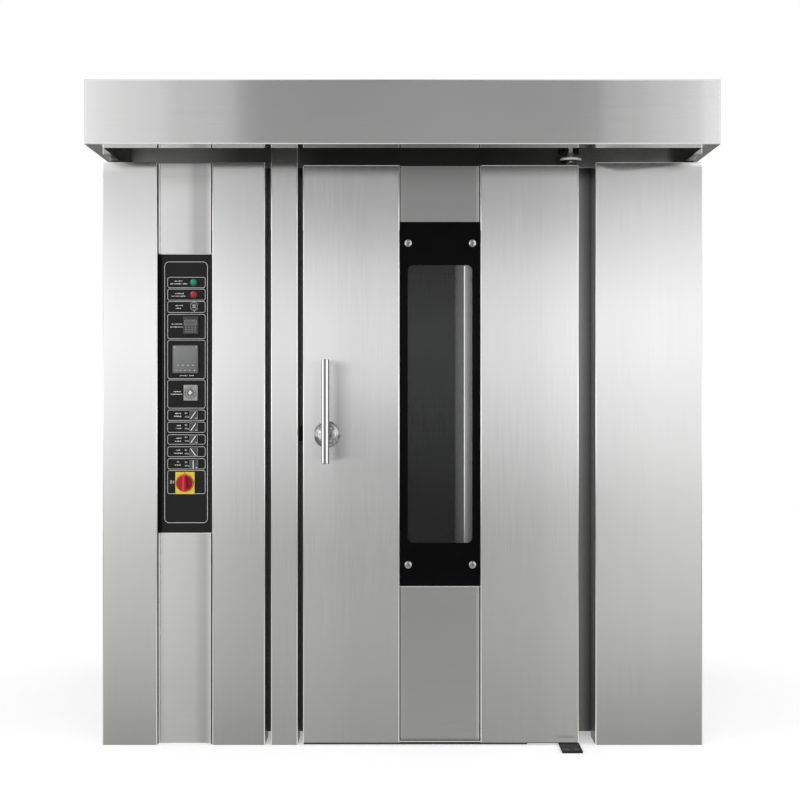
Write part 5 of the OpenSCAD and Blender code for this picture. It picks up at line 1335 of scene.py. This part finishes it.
# grease nipple of the bearing
lathe(bm, [(0, 0), (4.2, 0), (4.2, 4), (3, 4.4), (2.6, 8), (3.1, 9.4), (2.0, 11), (0, 11.2)], (GX, GY - 45.5, RZ + 32), "-y", 16, 3)
finish_mesh("gear_fittings", bm, [MOTORBLUE, ZINC, PLASTIC, BRASS, glass("sight_glass", (0.5, 0.35, 0.1), (0.6, 0.45, 0.2), 0.6)], "carcass", bev=0.3)

bm = bmesh.new()
HX, HY = -500, 250
for a in range(8):
    q = rot2((135, 0), a * 45 + 22.5)
    hexbolt(bm, (HX + q[0], HY + q[1], 2163), "+z", 10, 4.6, 8, 1.2, 1)
grille(bm, (HX, HY, 2236), "+z", 16, 116, 8, 6, -1.2, 1.2, 1, 2.6)
ring(bm, circ(122.2, 96), circ(117.5, 96), (HX, HY, 2236), "+z", -2.0, 1.0, 1)
lathe(bm, [(0, 0), (17, 0), (17, 1.2), (15.8, 1.8), (0, 2.0)], (HX, HY, 2235.6), "+z", 40, 1)
finish_mesh("hood_fan_guard", bm, [GALV, ZINC], "carcass")

bm = bmesh.new()
VX, VY = 440, 1080
for a in range(6):
    q = rot2((77, 0), a * 60)
    hexbolt(bm, (VX + q[0], VY + q[1], RZ + 4), "+z", 10, 4.6, 8, 1.2, 1)
lathe(bm, [(62.0, 2103), (63.6, 2103.4), (64.0, 2105), (64.0, 2111), (63.6, 2112.6), (62.0, 2113)], (VX, VY, 0), "+z", 72, 1)
beam(bm, VX - 14, VX + 14, VY - 74, VY - 62.5, 2104, 2112, axis="z", r=1.5, n=3, mat=1)
hexbolt(bm, (VX - 14, VY - 69, 2108), "-x", 7, 4, 4.4, 0.8, 1)
# weld bead where the pipe leaves its flange
lathe(bm, [(60.0, RZ + 4), (64.5, RZ + 4), (64.0, RZ + 6.0), (62.4, RZ + 7.6), (60.0, RZ + 8.2)], (VX, VY, 0), "+z", 72, 0)
for s_ in (-1, 1):
    lathe(bm, [(4.4, 0), (9.5, 0), (9.5, 4), (8.6, 5), (4.4, 5)], (VX + s_ * 59.4, VY, 2045), "+x" if s_ > 0 else "-x", 32, 1)
finish_mesh("vent_fittings", bm, [S_MATT, ZINC], "carcass")
bm = bmesh.new()
lathe(bm, [(0, -7), (3, -6.4), (6, -3.4), (6.8, 0), (6, 3.4), (3, 6.4), (0, 7)], (VX + 92, VY, 2000), "+x", 28, 0)
lathe(bm, [(0, 0), (2.4, 0), (2.4, 8), (0, 8)], (VX + 82, VY, 2000), "+x", 16, 1)
finish_mesh("damper_knob", bm, [PLASTIC, ZINC], "vent_damper")

bm = bmesh.new()
# water inlet: lock nut, thread, cap bore
c = (-655, 1328, 520)
lathe(bm, [(10.6, 0), (17.3, 0), (17.3, 6.2), (16.4, 7.2), (10.6, 7.2)], c, "+y", 6, 0, 0.25)
z = 8.0
while z < 20.2:
    lathe(bm, [(10.35, z), (11.15, z + 0.6), (11.15, z + 0.8), (10.35, z + 1.4)], c, "+y", 36, 0)
    z += 1.8
lathe(bm, [(7.6, 21.95), (7.4, 21.2), (7.2, 21.9)], c, "+y", 36, 1)
lathe(bm, [(0, 21.4), (7.2, 21.5)], c, "+y", 36, 1)
# supply gland: ribs of its dome nut and its rubber insert
c = (-860, 1328, 1700)
lathe(bm, [(20.2, 0.2), (24.6, 0.2), (24.6, 1.2), (20.2, 1.4)], c, "+y", 40, 1)
for k in range(20):
    a = 2 * math.pi * k / 20
    lathe(bm, [(0, 9.7), (1.0, 9.7), (1.0, 11.4), (0, 11.7)], (c[0] + 19.2 * math.cos(a), c[1], c[2] + 19.2 * math.sin(a)), "+y", 8, 1)
ring(bm, circ(13.2, 48), circ(8.0, 48), c, "+y", 6.0, 10.4, 1)
finish_mesh("rear_fittings", bm, [BRASS, RUBBER], "carcass")

# ---------------------------------------------------------------- inside the door
bm = bmesh.new()
for z in [60 + k * 226 for k in range(9)]:
    for x in (-325, 566):
        if x > 0 and (z < 80 or z > 1860):
            continue
        screw(bm, (x, 88, z), "+y", 2.4, 1.5, 0, z * 0.1)
for x in [-270 + k * 130 for k in range(7)]:
    screw(bm, (x, 88, 1894), "+y", 2.4, 1.5, 0, x * 0.1)
    screw(bm, (x, 88, 26), "+y", 2.4, 1.5, 0, x * 0.1)
finish_mesh("liner_screws", bm, ZINC, "door")

# ---------------------------------------------------------------- stage
def stage():
    bm = bmesh.new()
    bmesh.ops.create_grid(bm, x_segments=8, y_segments=8, size=7.0)
    me = bpy.data.meshes.new("floor")
    bm.to_mesh(me); bm.free()
    o = bpy.data.objects.new("floor", me)
    bpy.context.scene.collection.objects.link(o)
    m, nt, b = new_mat("floor_white")
    tc = node(nt, "TexCoord").outputs["Object"]
    f = noise(nt, tc, 1.5, 3, 0.5)
    nt.links.new(mix_rgb(nt, remap(nt, f, 0, 1), (0.86, 0.86, 0.86), (0.87, 0.87, 0.87)), b.inputs["Base Color"])
    b.inputs["Emission Color"].default_value = (1, 1, 1, 1)
    b.inputs["Emission Strength"].default_value = 0.36
    b.inputs["Roughness"].default_value = 0.9
    b.inputs["Specular IOR Level"].default_value = 0.0
    me.materials.append(m)
    o.location.z = -0.0005
    o.visible_glossy = False


NODES["hinge_bracket"].visible_glossy = False
stage()

w = bpy.data.worlds.new("studio")
bpy.context.scene.world = w
w.use_nodes = True
nt = w.node_tree
nt.nodes.clear()
out = node(nt, "OutputWorld")
tc = node(nt, "TexCoord").outputs["Generated"]
sep = node(nt, "SeparateXYZ")
nt.links.new(tc, sep.inputs[0])
X, Y, Z = sep.outputs
hyp = math_(nt, "SQRT", math_(nt, "ADD", math_(nt, "MULTIPLY", X, X), math_(nt, "ADD", math_(nt, "MULTIPLY", Y, Y), 1e-6)))
s = math_(nt, "ABSOLUTE", math_(nt, "DIVIDE", X, hyp))


def ramp(nt, fac, stops):
    """stops: (position 0..1, value)"""
    n = node(nt, "ValToRGB")
    el = n.color_ramp.elements
    while len(el) > 1:
        el.remove(el[-1])
    el[0].position, el[0].color = stops[0][0], (stops[0][1],) * 3 + (1,)
    for p, v in stops[1:]:
        e = el.new(p)
        e.color = (v, v, v, 1)
    nt.links.new(fac, n.inputs[0])
    return n.outputs[0]


# a dark upright field straight ahead, bright soft boxes on both sides; brighter at eye level than near the floor
LEFT = [(13.9, 1.12), (12.6, 0.95), (11.3, 0.88), (10.0, 0.75), (8.7, 0.65), (7.35, 0.47), (6.0, 0.39)]
RIGHT = [(7.0, 0.39), (8.2, 0.42), (9.2, 0.50), (10.4, 0.62), (11.7, 0.76), (12.9, 0.90), (13.8, 1.10)]
AZ = [(0.0, 1.6), (0.08, 1.4), (0.15, 1.25), (0.26, 1.25), (0.31, 1.6), (0.345, 1.9), (0.362, 1.55)]
AZ += [(0.5 - 0.5 * math.sin(math.radians(a)), v) for a, v in LEFT]
AZ += [(0.5 + 0.5 * math.sin(math.radians(a)), v) for a, v in RIGHT]
AZ += [(0.634, 1.6), (0.65, 2.0), (0.69, 1.6), (0.74, 1.25), (0.85, 1.25), (0.92, 1.4), (1.0, 1.6)]
EL = [(0.0, 0.9), (0.28, 0.8), (0.31, 0.62), (0.335, 0.45), (0.352, 0.43), (0.366, 0.45), (0.379, 0.55), (0.397, 0.62), (0.416, 0.73), (0.4345, 0.758),
      (0.4545, 0.88), (0.474, 1.13), (0.494, 1.24), (0.5175, 1.44), (0.534, 1.35), (0.5575, 1.17), (0.5685, 0.93), (0.5765, 0.75), (0.5825, 0.72),
      (0.62, 0.98), (0.7, 0.98), (0.8, 0.78), (1.0, 0.72)]
BACK = [(0.0, 1.1), (0.2, 1.0), (0.33, 0.45), (0.42, 0.30), (0.58, 0.30), (0.67, 0.45), (0.8, 1.0), (1.0, 1.1)]
sg = math_(nt, "MULTIPLY_ADD", math_(nt, "DIVIDE", X, hyp), 0.5, 0.5)
f_az = ramp(nt, sg, AZ)
zz = math_(nt, "MULTIPLY_ADD", Z, 0.5, 0.5)
g_el = ramp(nt, zz, EL)
# near the floor, and a little at eye level, the dark field fades out
fade = by_ramp(nt, zz, [(0.34, 1.0), (0.366, 0.95), (0.379, 0.78), (0.397, 0.66), (0.416, 0.32), (0.4345, -0.06), (0.4545, -0.08), (0.474, 0.04),
                        (0.494, 0.33), (0.5175, 0.42), (0.534, 0.36), (0.5575, 0.0), (0.5685, -0.15), (0.62, -0.05), (0.7, 0.0)])
flat = math_(nt, "MULTIPLY_ADD", math_(nt, "SUBTRACT", 1.0, f_az), fade, f_az)
b_az = ramp(nt, sg, BACK)
behind = math_(nt, "MULTIPLY_ADD", Y, 8.0, 0.5, True)
both = math_(nt, "MULTIPLY_ADD", math_(nt, "SUBTRACT", b_az, flat), behind, flat)
mul = math_(nt, "MULTIPLY", both, g_el)
warm = node(nt, "Mix", data_type="RGBA", blend_type="MIX")
warm.inputs[6].default_value = (1.0, 1.003, 0.965, 1)
warm.inputs[7].default_value = (1.0, 1.0, 1.0, 1)
nt.links.new(by_ramp(nt, Z, [(-0.22, 0.0), (-0.06, 1.0)]), warm.inputs["Factor"])
mul = scale_col(nt, warm.outputs[2], mul)
bg = node(nt, "Background")
nt.links.new(mul, bg.inputs["Color"])
bg.inputs["Strength"].default_value = 1.0
bgc = node(nt, "Background")
bgc.inputs["Color"].default_value = (1, 1, 1, 1)
bgc.inputs["Strength"].default_value = 1.0
lp = node(nt, "LightPath")
mx = node(nt, "MixShader")
nt.links.new(lp.outputs["Is Camera Ray"], mx.inputs[0])
nt.links.new(bg.outputs[0], mx.inputs[1])
nt.links.new(bgc.outputs[0], mx.inputs[2])
nt.links.new(mx.outputs[0], out.inputs[0])

scene = bpy.context.scene
scene.view_settings.view_transform = "Standard"
cam = bpy.data.cameras.new("camera")
co = bpy.data.objects.new("camera", cam)
scene.collection.objects.link(co)
co.location = (0, FY - 4.2, 1.2)
co.rotation_euler = (math.pi / 2, 0, 0)
cam.sensor_width = 36
cam.lens = 56.7
cam.shift_x = -2.5 / 800
cam.shift_y = -15 / 800
scene.camera = co
